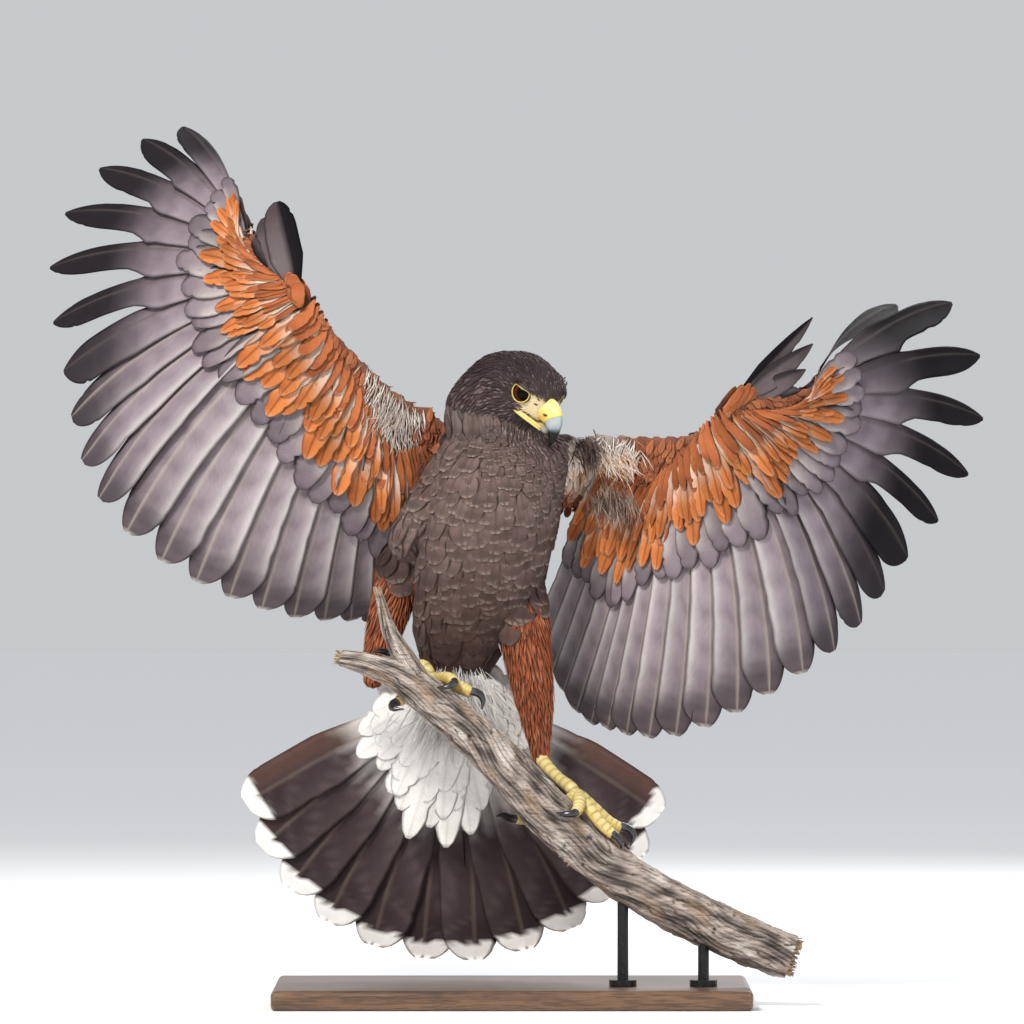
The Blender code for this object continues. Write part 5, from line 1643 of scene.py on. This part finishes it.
for x, z, wide, tall, count, way, length, half, colours, sag, depth in TUFTS:
    feet = []
    for _ in range(count):
        place = (x + random.normal() * wide * 0.6, z + random.normal() * tall * 0.6)
        on_skin = front_of_skin(*place)
        y = depth if on_skin is None else on_skin.y
        feet.append((place[0], min(y, depth + 12) - random.uniform(0, 7), place[1]))
    ways = np.array(way) + random.normal(0, 0.26, (count, 3))
    tints = blend(np.array(colours[0]), np.array(colours[1]), random.random(count) ** 1.5)
    strands(gather, np.array(feet), ways, length * random.uniform(0.6, 1.2, count),
            half * random.uniform(0.6, 1.3, count), tints, sag, random)
tail_feet = np.array([
    list(COVERTS_ROOT + Vector((random.normal() * 16, -12 - random.uniform(0, 5), random.uniform(-50, 8))))
    for _ in range(420)
])
tail_ways = np.c_[(tail_feet[:, 0] + 45) / 40, random.normal(-0.12, 0.1, 420), -np.ones(420)]
tail_ways += random.normal(0, 0.18, (420, 3))
strands(gather, tail_feet, tail_ways, random.uniform(16, 32, 420), random.uniform(0.3, 0.6, 420),
        blend((0.84, 0.82, 0.79), (0.62, 0.60, 0.60), random.random(420)), 0.05, random)
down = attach(gather.build("loose_down", FLUFF_MATERIAL), "root")

# %% [markdown]
# ## Bill, cere and mouth
# The horn of the bill runs from blue grey to black at the hook. A waxy yellow cere covers its base,
# with a slit nostril, and the yellow corner of the mouth runs back under the eye.

# %% Ring meshes with a tint
def ring_mesh(name, rings, tints, material, closed_ends=True):
    """A smooth closed tube through rings of points in millimetres, with one tint per point."""
    bm = bmesh.new()
    layer = bm.verts.layers.float_color.new("tint")
    loops, middles = add_loft(bm, rings, closed_ends)
    for loop, row in zip(loops + [[m] for m in middles], [*tints, tints[0], tints[-1]]):
        for vert, colour in zip(loop, row):
            vert[layer] = (*colour, 1.0)
    bmesh.ops.recalc_face_normals(bm, faces=bm.faces)
    mesh = bpy.data.meshes.new(name)
    bm.to_mesh(mesh)
    bm.free()
    mesh.materials.append(material)
    mesh.shade_smooth()
    obj = bpy.data.objects.new(name, mesh)
    scene.collection.objects.link(obj)
    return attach(obj, "root")


def tinted_material(name, roughness, detail_scale, contrast, bump, coat=0.0, subsurface=0.0, gloss=0.5):
    """Horn, wax or scales: the tint broken by fine noise, with a slight relief."""
    material, tree, shader = new_material(name)
    fine = noise(tree, object_place(tree), detail_scale, 5.0, 0.6)
    grey = ramp(tree, fine, [(0.25, (1 - contrast,) * 3), (0.75, (1 + contrast * 0.4,) * 3)])
    colour = mix_colour(tree, 1.0, point_data(tree, "tint")["Color"], grey, "MULTIPLY")
    finish_shader(tree, shader, colour, fine, bump, 0.0004, Roughness=roughness, Coat_Weight=coat,
                  Coat_Roughness=0.12, Subsurface_Weight=subsurface, Subsurface_Scale=0.002,
                  Specular_IOR_Level=gloss)
    return material


HORN = tinted_material("horn", 0.34, 700, 0.22, 0.15, coat=0.10, gloss=0.2)
WAX = tinted_material("cere wax", 0.42, 1400, 0.16, 0.35, coat=0.15, subsurface=0.15)
FLESH_Y = Vector((0, 1, 0))


def bill_ring(x, z, tilt, half_width, half_height, count, power=2.0):
    """A ring of the bill, narrower over its upper half so that it rises to a ridge."""
    lean = math.radians(tilt)
    up = Vector((math.sin(lean), 0, math.cos(lean)))
    ring = []
    for point in oval((x, 0, z), FLESH_Y, up, half_width, half_height, count, power):
        rise = (Vector(point) - Vector((x, 0, z))).dot(up) / half_height
        ring.append(Vector((point[0], point[1] * (1 - 0.28 * soft(-0.1, 0.9, rise)), point[2])))
    return ring


UPPER_BILL = [
    (20, -3.0, 5, 6.0, 7.4), (26, -3.0, 10, 6.2, 8.6), (31.5, -4.6, 24, 6.9, 9.2), (36, -8.2, 42, 6.6, 8.6),
    (38.6, -13.2, 62, 5.2, 6.4), (39.8, -18.6, 78, 3.6, 4.3), (39.9, -24, 92, 2.0, 2.4),
    (39.0, -28.8, 100, 0.4, 0.5),
]
LOWER_BILL = [
    (13, -15.6, 6, 8.4, 3.3), (20, -16.4, 8, 7.8, 3.3), (26, -17.4, 10, 6.2, 2.9), (31, -18.9, 14, 3.9, 2.2),
    (34, -20.0, 18, 1.2, 0.8),
]


def horn_tint(share, height):
    """Blue grey horn that blackens towards the hook and along the ridge."""
    base = blend((0.36, 0.42, 0.42), (0.20, 0.24, 0.26), soft(0.46, 0.62, share))
    base = blend(base, (0.05, 0.05, 0.052), 0.85 * (1 - soft(-0.85, -0.35, height)))
    base = blend(base, (0.004, 0.0035, 0.0035), soft(0.53, 0.64, share))
    return tuple(blend(base, (0.62, 0.52, 0.22), 0.6 * (1 - soft(0.28, 0.38, share))))


def make_bill(name, table, spans, tint_of, material):
    rings, tints = [], []
    fine = finer(table, spans)
    for k, (x, z, tilt, half_width, half_height) in enumerate(fine):
        ring = bill_ring(x, z, tilt, half_width, half_height, 36)
        share = k / (len(fine) - 1)
        rings.append([HEAD @ p for p in ring])
        tints.append([tint_of(share, math.sin(2 * math.pi * m / len(ring))) for m in range(len(ring))])
    return ring_mesh(name, rings, tints, material)


upper = make_bill("upper_bill", UPPER_BILL, 7, horn_tint, HORN)
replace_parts(upper, "bill_upper")


def jaw_tint(share, height):
    base = blend((0.62, 0.46, 0.13), (0.33, 0.34, 0.30), soft(0.42, 0.62, share))
    return tuple(blend(base, (0.06, 0.06, 0.065), soft(0.7, 0.98, share)))


lower = make_bill("lower_bill", LOWER_BILL, 7, jaw_tint, HORN)
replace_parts(lower, "bill_lower")

# %% Cere with its nostrils
CERE = [
    (17.5, -2.6, 0, 11.8, 10.4), (22, -3.2, 6, 10.4, 10.2), (26, -3.6, 12, 9.2, 10.2),
    (29.2, -4.4, 20, 8.3, 10.0),
    (31.8, -5.2, 30, 7.7, 9.9), (33.6, -6.2, 38, 7.4, 9.6), (34.3, -6.7, 40, 7.2, 9.2),
    (34.1, -6.6, 40, 6.4, 8.2),
]
NOSTRIL = Vector((30.6, 7.8, -4.6))


def make_cere():
    rings, tints = [], []
    for x, z, tilt, half_width, half_height in finer(CERE, 9):
        ring, row = [], []
        for point in bill_ring(x, z, tilt, half_width, half_height, 96, 2.1):
            side = math.copysign(1, point.y)
            offset = point - Vector((NOSTRIL.x, side * NOSTRIL.y, NOSTRIL.z))
            offset.y = 0
            turned = Vector((offset.x * 0.95 + offset.z * 0.3, 0, offset.z * 0.95 - offset.x * 0.3))
            wide = math.sqrt((turned.x / 2.3) ** 2 + (turned.z / 1.15) ** 2)
            hole = 1 - soft(0.80, 1.15, wide) if abs(point.y) > 4 else 0.0
            lip = math.exp(-(((wide - 1.35) / 0.3) ** 2)) if abs(point.y) > 4 else 0.0
            point = point + Vector((0, side * (0.3 * lip - 0.5 * hole), 0))
            colour = blend((0.72, 0.50, 0.10), (0.84, 0.66, 0.20), soft(-8, 6, point.z))
            # Painted shade: the nostril is coloured near black where its hole is, though the skin there dips
            # in only half a millimetre.
            row.append(tuple(blend(colour, (0.02, 0.012, 0.008), hole)))
            ring.append(HEAD @ point)
        rings.append(ring)
        tints.append(row)
    return ring_mesh("cere", rings, tints, WAX)


make_cere()

# %% Corner of the mouth
def tube(name, path, material, tint_of, count=12, spans=4):
    """A tapering tube along (x, y, z, radius) stations, already in the world."""
    rings = tube_rings(finer(path, spans), count)
    tints = [[tint_of(k / (len(rings) - 1), m / count) for m in range(count)] for k in range(len(rings))]
    return ring_mesh(name, rings, tints, material)


for side, word in ((1, "left"), (-1, "right")):
    for part, lift, radius in (("upper", 0.75, 1.15), ("lower", -1.25, 1.25)):
        path = []
        for x, y, z, r in [(3.0, 17.6, -11.6, 0.35), (8, 17.2, -12.3, 0.9), (14, 15.4, -13.1, 1.0),
                           (20, 12.4, -14.2, 1.0),
                           (26, 9.0, -15.6, 0.85), (30.5, 6.4, -17.0, 0.4)]:
            path.append((*(HEAD @ Vector((x, side * (y + 0.3), z + lift))), radius * r))
        lip = tube(f"gape_{part}_{word}", path, WAX, lambda s, t: (0.74, 0.55, 0.17))

# %% [markdown]
# ## Eyes
# The ball is a sphere with a slightly raised clear dome. Its iris is dark red brown with radial fibres
# round a black pupil, and a thin yellow lid rings it under the brow.

# %% Eyeballs and lids
def eye_material():
    material, tree, shader = new_material("eye")
    parts = tree.nodes.new("ShaderNodeSeparateXYZ")
    link(tree, point_data(tree, "iris")["Vector"], parts.inputs[0])
    drawn_out = [
        math_node(tree, "MULTIPLY", parts.outputs[axis], long) for axis, long in zip("XYZ", (1.5, 9.0, 9.0))
    ]
    fibres = noise(tree, combine(tree, *drawn_out), 3.0, 4.0, 0.6)
    wave = math_node(tree, "MULTIPLY", math_node(tree, "SUBTRACT", fibres, 0.5), 0.05)
    radius = math_node(tree, "ADD", parts.outputs["X"], wave)
    # The black pupil is drawn larger than a real one: its outer part is painted shade, the brow's shadow over
    # the eye.
    colour = ramp(tree, radius, [
        (0.0, (0.002, 0.002, 0.002)), (0.57, (0.003, 0.002, 0.002)), (0.60, (0.04, 0.008, 0.003)),
        (0.76, (0.10, 0.022, 0.006)), (0.92, (0.05, 0.012, 0.004)), (1.0, (0.006, 0.004, 0.003)),
    ])
    dim = ramp(tree, fibres, [(0.3, (0.55, 0.55, 0.55)), (0.7, (1.0, 1.0, 1.0))])
    link(tree, mix_colour(tree, 1.0, colour, dim, "MULTIPLY"), shader.inputs["Base Color"])
    shader.inputs["Roughness"].default_value = 0.25
    shader.inputs["Specular IOR Level"].default_value = 0.02
    shader.inputs["Coat Weight"].default_value = 0.10
    shader.inputs["Coat Roughness"].default_value = 0.02
    return material


EYE_MATERIAL = eye_material()
LID_SKIN = tinted_material("lid skin", 0.5, 1500, 0.25, 0.4)


# share of the way out from the lid's edge, distance from the middle of the eye
LID_SECTION = [
    (0.0, 9.05), (0.0, 9.45), (0.03, 9.75), (0.09, 9.75), (0.14, 9.5), (0.35, 9.4), (0.7, 9.3), (1.0, 9.1),
    (1.0, 8.6), (0.5, 8.6), (0.14, 8.7), (0.05, 8.85),
]


def make_eye(side, word):
    outward = (HEAD.to_3x3() @ Vector((0.24, side, 0.06))).normalized()
    gaze = (HEAD.to_3x3() @ Vector((1.0, side, 0.35))).normalized()
    gaze_x = gaze.orthogonal().normalized()
    gaze_y = gaze.cross(gaze_x)
    centre = HEAD @ Vector((8.5, side * 17 - (1.5 if side == 1 else 0), 4))
    bpy.ops.mesh.primitive_uv_sphere_add(segments=64, ring_count=48, radius=8.9 * MM)
    ball = bpy.context.object
    ball.name = f"eyeball_{word}"
    turn = outward.to_track_quat("Z", "Y").to_matrix().to_4x4()
    mesh = ball.data
    layer = mesh.attributes.new("iris", "FLOAT_VECTOR", "POINT")
    values = []
    for vert in mesh.vertices:
        toward = turn.to_3x3() @ vert.co.normalized()
        angle = math.acos(max(-1, min(1, toward.dot(gaze))))
        around = math.atan2(toward.dot(gaze_y), toward.dot(gaze_x))
        values += [min(1.0, angle / math.radians(62)), math.cos(around), math.sin(around)]
        vert.co *= 1 + 0.07 * (1 - soft(0.25, 0.75, angle))
    layer.data.foreach_set("vector", values)
    mesh.transform(Matrix.Translation(centre * MM) @ turn)
    mesh.materials.append(EYE_MATERIAL)
    mesh.shade_smooth()
    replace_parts(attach(ball, "root"), f"eye_{word}")
    first = outward.cross(Vector((0, 0, 1))).normalized()
    second = outward.cross(first) * -1
    rings, tints = [], []
    for k in range(72):
        angle = 2 * math.pi * k / 72
        spoke = first * math.cos(angle) + second * math.sin(angle)
        seen = angle if side < 0 else math.pi - angle
        lean = math.cos(seen - math.radians(122))
        full = 7.4 + 0.9 * max(0.0, math.cos(seen - math.radians(192)))
        radius = full if lean < 0.06 else (full ** -7 + (4.7 / lean) ** -7) ** (-1 / 7)
        inner, outer = math.asin(radius / 9.3), math.radians(80)
        ring, row = [], []
        for share, height in LID_SECTION:
            polar = inner + (outer - inner) * share
            ring.append(centre + (outward * math.cos(polar) + spoke * math.sin(polar)) * height)
            row.append((0.74, 0.55, 0.12) if polar - inner < 0.055 else (0.045, 0.031, 0.029))
        rings.append(ring)
        tints.append(row)
    rings.append(rings[0])
    tints.append(tints[0])
    lid = ring_mesh(f"eyelid_{word}", rings, tints, LID_SKIN, closed_ends=False)
    bm = bmesh.new()
    bm.from_mesh(lid.data)
    bmesh.ops.remove_doubles(bm, verts=bm.verts, dist=0.00001)
    bmesh.ops.recalc_face_normals(bm, faces=bm.faces)
    bm.to_mesh(lid.data)
    bm.free()


for side, word in ((1, "left"), (-1, "right")):
    make_eye(side, word)

# %% [markdown]
# ## Legs, toes and claws
# The shins and toes are yellow and scaled. Broad plates run over the top of each toe and down the
# front of the shin, with small round scales at the sides. The claws are black, curved and glossy.

# %% Places on the branch
BRANCH = [
    (-136, -52, 277, 6.5), (-112, -54, 271, 9.0), (-88, -56, 262, 12.5), (-64, -58, 244, 14.5),
    (-36, -59, 220, 15.5), (-8, -60, 194, 17.0), (26, -60, 156, 19.0), (62, -61, 124, 19.0),
    (100, -61, 96, 18.5), (150, -61, 69, 19.0), (200, -60, 47, 18.0), (222, -60, 39.5, 17.5),
]
TARSI = {
    "right": [(-111, 17, 262, 5.2), (-104, 4, 263, 4.4), (-88, -17, 267, 4.2), (-71, -34, 270, 5.0)],
    "left": [(20, -6, 200, 5.4), (27, -18, 191, 4.8), (37, -36, 181, 4.4), (47, -52, 173, 5.2)],
}
TOES = {
    "right": {
        "inner": [(-70, -48, 7, 5.0), (-66, -22, 7, 4.6), (-63, -2, 8, 4.4), (-61, 12, 8, 4.0)],
        "middle": [(-70, -50, 7, 5.0), (-62, -34, 8, 5.0), (-55, -20, 9, 4.8), (-50, -12, 9.5, 4.4)],
        "outer": [(-72, -54, 7, 4.6), (-82, -52, 7, 4.4), (-92, -46, 7, 4.2), (-100, -40, 6, 3.8)],
        "hind": [(-72, -62, 7, 5.2), (-76, -90, 6, 5.2), (-79, -125, 5, 4.8), (-80, -152, 5, 4.2)],
    },
    "left": {
        "inner": [(36, 0, 7, 5.2), (38, 22, 6.5, 5.0), (40, 40, 6, 4.4), (40.5, 50, 6, 4.0)],
        "middle": [(36, -4, 7, 6.0), (47, -6, 7.5, 5.4), (58, -7, 7.5, 5.0), (68, -6, 9, 4.6)],
        "outer": [(36, 2, 7, 5.4), (46, 16, 6, 4.8), (56, 24, 5, 4.4), (66, 28, 5, 4.0)],
        "hind": [(34, -30, 6, 5.4), (31, -70, 6, 5.2), (26, -115, 5, 4.8), (20, -150, 5, 4.2)],
    },
}
CLAWS = {
    "right": {
        "inner": [(-61.5, 8, 8.5, 3.4), (-60, 24, 9, 3.0), (-62, 40, 5, 2.0), (-65, 47, 1.2, 0.5)],
        "middle": [(-52, -14, 9, 3.6), (-45, -10, 13, 3.2), (-40, -10, 11, 2.2), (-37, -12, 5, 0.5)],
        "outer": [(-98, -41, 6, 3.2), (-105, -36, 7, 2.8), (-111, -28, 5, 1.9), (-113, -20, 1.6, 0.5)],
        "hind": [(-79.5, -148, 5.5, 3.8), (-82, -166, 9, 3.4), (-80, -182, 11, 2.4), (-74, -192, 6, 0.5)],
    },
    "left": {
        "inner": [(40.5, 46, 6, 3.6), (40, 58, 7, 3.2), (36, 70, 5, 2.2), (32, 76, 1.2, 0.5)],
        "middle": [(66, -6, 9, 3.8), (73, -5, 13, 3.4), (79, -4, 11, 2.4), (81, -2, 3, 0.5)],
        "outer": [(64, 28, 5, 3.4), (70, 31, 6.5, 3.0), (75, 35, 5, 2.0), (77, 38, 1.2, 0.5)],
        "hind": [(21, -147, 5, 3.8), (16.5, -162, 8, 3.4), (13, -176, 9, 2.4), (11, -188, 14, 0.5)],
    },
}


def branch_frame(x):
    for a, b in zip(BRANCH, BRANCH[1:]):
        if x <= b[0] or b is BRANCH[-1]:
            share = (x - a[0]) / (b[0] - a[0])
            centre = Vector(a[:3]).lerp(Vector(b[:3]), share)
            tangent = (Vector(b[:3]) - Vector(a[:3])).normalized()
            front = Vector((0, -1, 0))
            front = (front - tangent * front.dot(tangent)).normalized()
            up = front.cross(tangent)
            return centre, a[3] + (b[3] - a[3]) * share, up * math.copysign(1, up.z), front


def on_branch(x, turn, height):
    centre, radius, up, front = branch_frame(x)
    angle = math.radians(turn)
    return centre + (up * math.cos(angle) + front * math.sin(angle)) * (radius + height)


def digit_path(stations):
    return [(*on_branch(x, turn, height), radius) for x, turn, height, radius in stations]


# %% Scaled tubes for shins and toes
SCALES = tinted_material("leg scales", 0.45, 900, 0.25, 0.4, coat=0.12, subsurface=0.08)


def scaled_tube(path, count, away_from, plates):
    """Rings and tints of a scaled tube. away_from gives, for a place, the way its upper side faces."""
    fine = finer(path, max(6, int(plates * 7 / (len(path) - 1))))
    total = len(fine) - 1
    rings, tints = [], []
    base_rings = tube_rings(fine, count)
    for k, ring in enumerate(base_rings):
        centre = Vector(fine[k][:3])
        share = k / total
        upper = away_from(centre)
        plate = share * plates
        across_plate = plate - math.floor(plate)
        tone = 0.92 + 0.10 * math.sin(math.floor(plate) * 12.9)
        row, made = [], []
        for m, point in enumerate(ring):
            spoke = (point - centre).normalized()
            facing = spoke.dot(upper)
            top = soft(0.0, 0.35, facing)
            dome = max(0.0, 1 - (2 * across_plate - 1) ** 4)
            angle = m / count
            cell = math.sin(share * plates * 2.4 * math.pi * 2) * math.sin(angle * 22 * math.pi)
            pebble = 0.5 + 0.5 * cell
            rise = 0.34 * dome * top + 0.30 * pebble * (1 - top)
            pad = soft(0.35, 0.85, -facing) * (0.5 + 0.5 * math.sin(share * math.pi * 5)) * 0.6
            made.append(point + spoke * (rise + pad))
            groove = (1 - dome) * top + (1 - soft(0.12, 0.4, pebble)) * (1 - top)
            colour = blend((0.66, 0.50, 0.16), (0.74, 0.62, 0.26), soft(0.2, 0.9, facing))
            colour = blend(colour, (0.62, 0.36, 0.12), 0.7 * soft(0.1, 0.8, -facing))
            row.append(tuple(blend(colour * tone, (0.17, 0.10, 0.04), 0.75 * groove)))
        rings.append(made)
        tints.append(row)
    return rings, tints


def shin_front(centre):
    return Vector((0, -0.9, 0.45)).normalized()


def toe_top(centre):
    middle = branch_frame(centre.x)[0]
    return (centre - middle).normalized()


def claw_tint(share, around):
    base = blend((0.10, 0.10, 0.11), (0.012, 0.012, 0.014), soft(0.0, 0.35, share))
    return tuple(base)


CLAW_HORN = tinted_material("claw horn", 0.22, 500, 0.3, 0.12, coat=0.6)
for side in ("right", "left"):
    shin = [tuple(p) for p in TARSI[side]]
    hip = Vector(THIGHS[side][-1][:3])
    shin.insert(0, (*(Vector(shin[0][:3]).lerp(hip, 0.25)), 5.0))
    toe_roots = [Vector(digit_path(TOES[side][toe])[0][:3]) for toe in ("hind", "middle")]
    hub = (toe_roots[0] + toe_roots[1]) / 2
    shin.append((*hub, 4.6))
    rings, tints = scaled_tube(shin, 28, shin_front, 13)
    leg = ring_mesh(f"shin_{side}", rings, tints, SCALES)
    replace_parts(leg, f"leg_{side}_tarsus")
    rings = ball_rings(hub, (8.4, 7.9, 7.4), 36, 18)
    tints = []
    for j, ring in enumerate(rings):
        row = []
        for m, point in enumerate(ring):
            spoke = (point - hub).normalized()
            cell = math.sin(j * 1.9) * math.sin(m * 1.4)
            ring[m] = point + spoke * 0.35 * cell
            # Darker brown in the dips between the raised bumps of the pad.
            darker_in_dips = 0.6 * (1 - soft(-0.7, -0.1, cell))
            row.append(tuple(blend((0.70, 0.55, 0.20), (0.24, 0.15, 0.06), darker_in_dips)))
        tints.append(row)
    pad = ring_mesh(f"foot_pad_{side}", rings, tints, SCALES)
    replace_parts(pad, f"foot_{side}")
    for toe, stations in TOES[side].items():
        path = digit_path(stations)
        end = Vector(path[-1][:3]) + (Vector(path[-1][:3]) - Vector(path[-2][:3])).normalized() * 2.6
        path.append((*end, path[-1][3] * 0.62))
        rings, tints = scaled_tube(path, 26, toe_top, 9)
        made = ring_mesh(f"toe_{side}_{toe}", rings, tints, SCALES)
        claw = tube(f"talon_{side}_{toe}", digit_path(CLAWS[side][toe]), CLAW_HORN, claw_tint, 20, 7)
        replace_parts(claw, f"claw_{side}_{toe}")
print("legs and claws done")

# %% [markdown]
# ## The branch
# Weathered juniper-like wood: the bark has gone in strips, leaving long silver ridges and dark cracks.
# The trunk is a finely divided tube, pushed out along ridges that wander round it, and its end is a
# splintered ochre break.

# %% Ridged branch
BRANCH_FORK = [(-70, -58, 250, 10.0), (-84, -57, 274, 9.0), (-97, -56, 298, 6.0), (-106, -56, 328, 3.0)]


def ridge_height(along, angle, seed):
    """Long ridges and cracks of weathered wood, at a place along and an angle round the branch."""
    wander = 0.35 * math.sin(along * 0.021 + seed) + 0.15 * math.sin(along * 0.06 + 2 * seed)
    a = angle + wander
    ridges = math.sin(a * 5 + 1.7 * math.sin(along * 0.042 + a * 2))
    ridges += 0.6 * math.sin(a * 11 + 1.6 * math.sin(along * 0.07))
    fine = 0.3 * math.sin(a * 29 + 2.8 * math.sin(along * 0.11 + seed))
    fine += 0.2 * math.sin(a * 53 + 2 * math.sin(along * 0.2))
    plates = math.sin(along * 0.23 + 4 * math.sin(2 * a + seed)) * math.sin(3 * a + along * 0.05)
    cracks = -1.1 * soft(0.80, 0.97, math.sin(along * 0.33 + 5 * math.sin(3 * a)))
    cracks *= soft(0.1, 0.7, plates)
    return ridges * 0.42 + fine + 0.42 * plates + cracks


def bark_rings(path, spans, count, seed, depth):
    fine = finer(path, spans)
    rings, tints = [], []
    along, before = 0.0, Vector(fine[0][:3])
    lengths = []
    for station in fine:
        along += (Vector(station[:3]) - before).length
        before = Vector(station[:3])
        lengths.append(along)
    for k, ring in enumerate(tube_rings(fine, count)):
        centre = Vector(fine[k][:3])
        row = []
        for m, point in enumerate(ring):
            spoke = (point - centre).normalized()
            angle = 2 * math.pi * m / count
            height = ridge_height(lengths[k], angle, seed)
            ends = min(1.0, 0.25 + lengths[k] / 25, 0.25 + (along - lengths[k]) / 12)
            ring[m] = point + spoke * (height * depth * min(1.0, fine[k][3] / 14) * ends)
            tone = blend((0.028, 0.021, 0.018), (0.47, 0.39, 0.34), soft(-1.0, 0.9, height))
            patch = math.sin(lengths[k] * 0.045 + 2 * angle + seed) + math.sin(lengths[k] * 0.11 - 3 * angle)
            tone = blend(tone, (0.33, 0.22, 0.14), 0.45 * soft(0.9, 1.7, patch))
            lichen = (1 - soft(-1.8, -0.9, patch)) * soft(-0.2, 0.6, height)
            tone = blend(tone, (0.74, 0.72, 0.67), 0.5 * lichen)
            row.append(tuple(tone))
        rings.append(ring)
        tints.append(row)
    return rings, tints


def bark_material():
    material, tree, shader = new_material("bark")
    grain = noise(tree, stretched(tree, 0.10, 33), 620.0, 5.0, 0.65)
    specks = noise(tree, object_place(tree), 900.0, 3.0)
    dark = ramp(tree, grain, [
        (0.30, (0.35, 0.32, 0.30)), (0.52, (0.95, 0.95, 0.95)), (0.75, (1.25, 1.22, 1.18)),
    ])
    colour = mix_colour(tree, 1.0, point_data(tree, "tint")["Color"], dark, "MULTIPLY")
    spotted = ramp(tree, specks, [(0.60, (0, 0, 0)), (0.68, (1, 1, 1))])
    colour = mix_colour(tree, math_node(tree, "MULTIPLY", spotted, 0.25), colour, (0.12, 0.09, 0.075))
    finish_shader(tree, shader, colour, grain, 0.9, 0.0012, Roughness=0.88)
    return material


BARK = bark_material()
rings, tints = bark_rings(BRANCH, 24, 132, 0.4, 1.5)
trunk = ring_mesh("branch_wood", rings, tints, BARK)
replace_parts(trunk, "perch_branch")
rings, tints = bark_rings(BRANCH_FORK, 26, 84, 2.1, 0.9)
fork = ring_mesh("branch_fork", rings, tints, BARK)

# %% Splinters where the wood is broken
def splinters(name, ends, random):
    gather = Gather()
    for centre, way, spread_radius, count, length in ends:
        way = Vector(way).normalized()
        side = way.orthogonal().normalized()
        other = way.cross(side)
        for _ in range(count):
            angle, out = random.uniform(0, 6.28), math.sqrt(random.random()) * spread_radius
            foot = Vector(centre) + (side * math.cos(angle) + other * math.sin(angle)) * out - way * 3
            long = length * random.uniform(0.35, 1.0)
            lean = (way + (side * random.normal() + other * random.normal()) * 0.12).normalized()
            s = np.linspace(0, 1, 5)
            centre_line = np.array([list(foot + lean * (long * t)) for t in s])[None]
            normal = np.tile(np.array(list((side * math.cos(angle) + other * math.sin(angle)))), (1, 5, 1))
            width = random.uniform(0.8, 1.9) * np.array([[1.0, 1.0, 0.8, 0.5, 0.08]])
            tone = blend((0.52, 0.36, 0.20), (0.36, 0.28, 0.21), random.random())
            tints = np.broadcast_to(tone, (1, 5, 3, 3)).copy()
            blade_batch(gather, centre_line, normal, width, 0.2, 1.1, THREE_COLUMNS, tints,
                        np.array([[0.5, 0.5]]), np.array([0.4]), random)
    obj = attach(gather.build(name, BARK), "root")


SPLINTER_SEED = 31
random = np.random.default_rng(SPLINTER_SEED)
splinters("branch_splinters", [
    ((222, -60, 39.5), (0.93, 0, -0.3), 15, 210, 9), ((-136, -52, 277), (-1, 0.1, 0.25), 5, 60, 9),
    ((-106, -56, 328), (-0.25, 0, 1), 2.4, 22, 10), ((46, -66, 121), (-0.8, -0.5, -0.35), 6, 70, 12),
], random)

# %% [markdown]
# ## The stand
# A stained wooden base and two blackened steel rods with round feet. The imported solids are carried
# over as they are and only get finishes, so that the stand stays exact.

# %% Wood and steel
def stand_wood():
    material, tree, shader = new_material("stand wood")
    lay = stretched(tree, 0.07)
    grain = noise(tree, lay, 130.0, 6.0, 0.6)
    pores = noise(tree, lay, 900.0, 2.0, 0.5)
    colour = ramp(tree, grain, [
        (0.28, (0.055, 0.027, 0.014)), (0.45, (0.12, 0.060, 0.030)), (0.58, (0.17, 0.088, 0.044)),
        (0.75, (0.085, 0.040, 0.020)),
    ])
    darker = ramp(tree, pores, [(0.40, (0.55, 0.55, 0.55)), (0.52, (1, 1, 1))])
    finish_shader(tree, shader, mix_colour(tree, 1.0, colour, darker, "MULTIPLY"), pores, 0.25, 0.0004,
                  Roughness=0.38, Coat_Weight=0.3, Coat_Roughness=0.2)
    return material


def stand_steel():
    material, tree, shader = new_material("stand steel")
    fine = noise(tree, object_place(tree), 500.0, 5.0, 0.65)
    colour = ramp(tree, fine, [(0.3, (0.018, 0.018, 0.02)), (0.7, (0.045, 0.043, 0.042))])
    rough = ramp(tree, fine, [(0.3, (0.32, 0.32, 0.32)), (0.7, (0.5, 0.5, 0.5))])
    finish_shader(tree, shader, colour, fine, 0.2, 0.0002, Metallic=0.85)
    link(tree, rough, shader.inputs["Roughness"])
    return material


WOOD, STEEL = stand_wood(), stand_steel()
for name, material, slot_name in (
    ("stand_base", WOOD, "stand_wood"), ("stand_rod_1", STEEL, "stand_metal"),
    ("stand_rod_2", STEEL, "stand_metal"),
):
    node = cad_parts[name]
    node.data.materials.clear()
    node.data.materials.append(material)
print("stand finished")
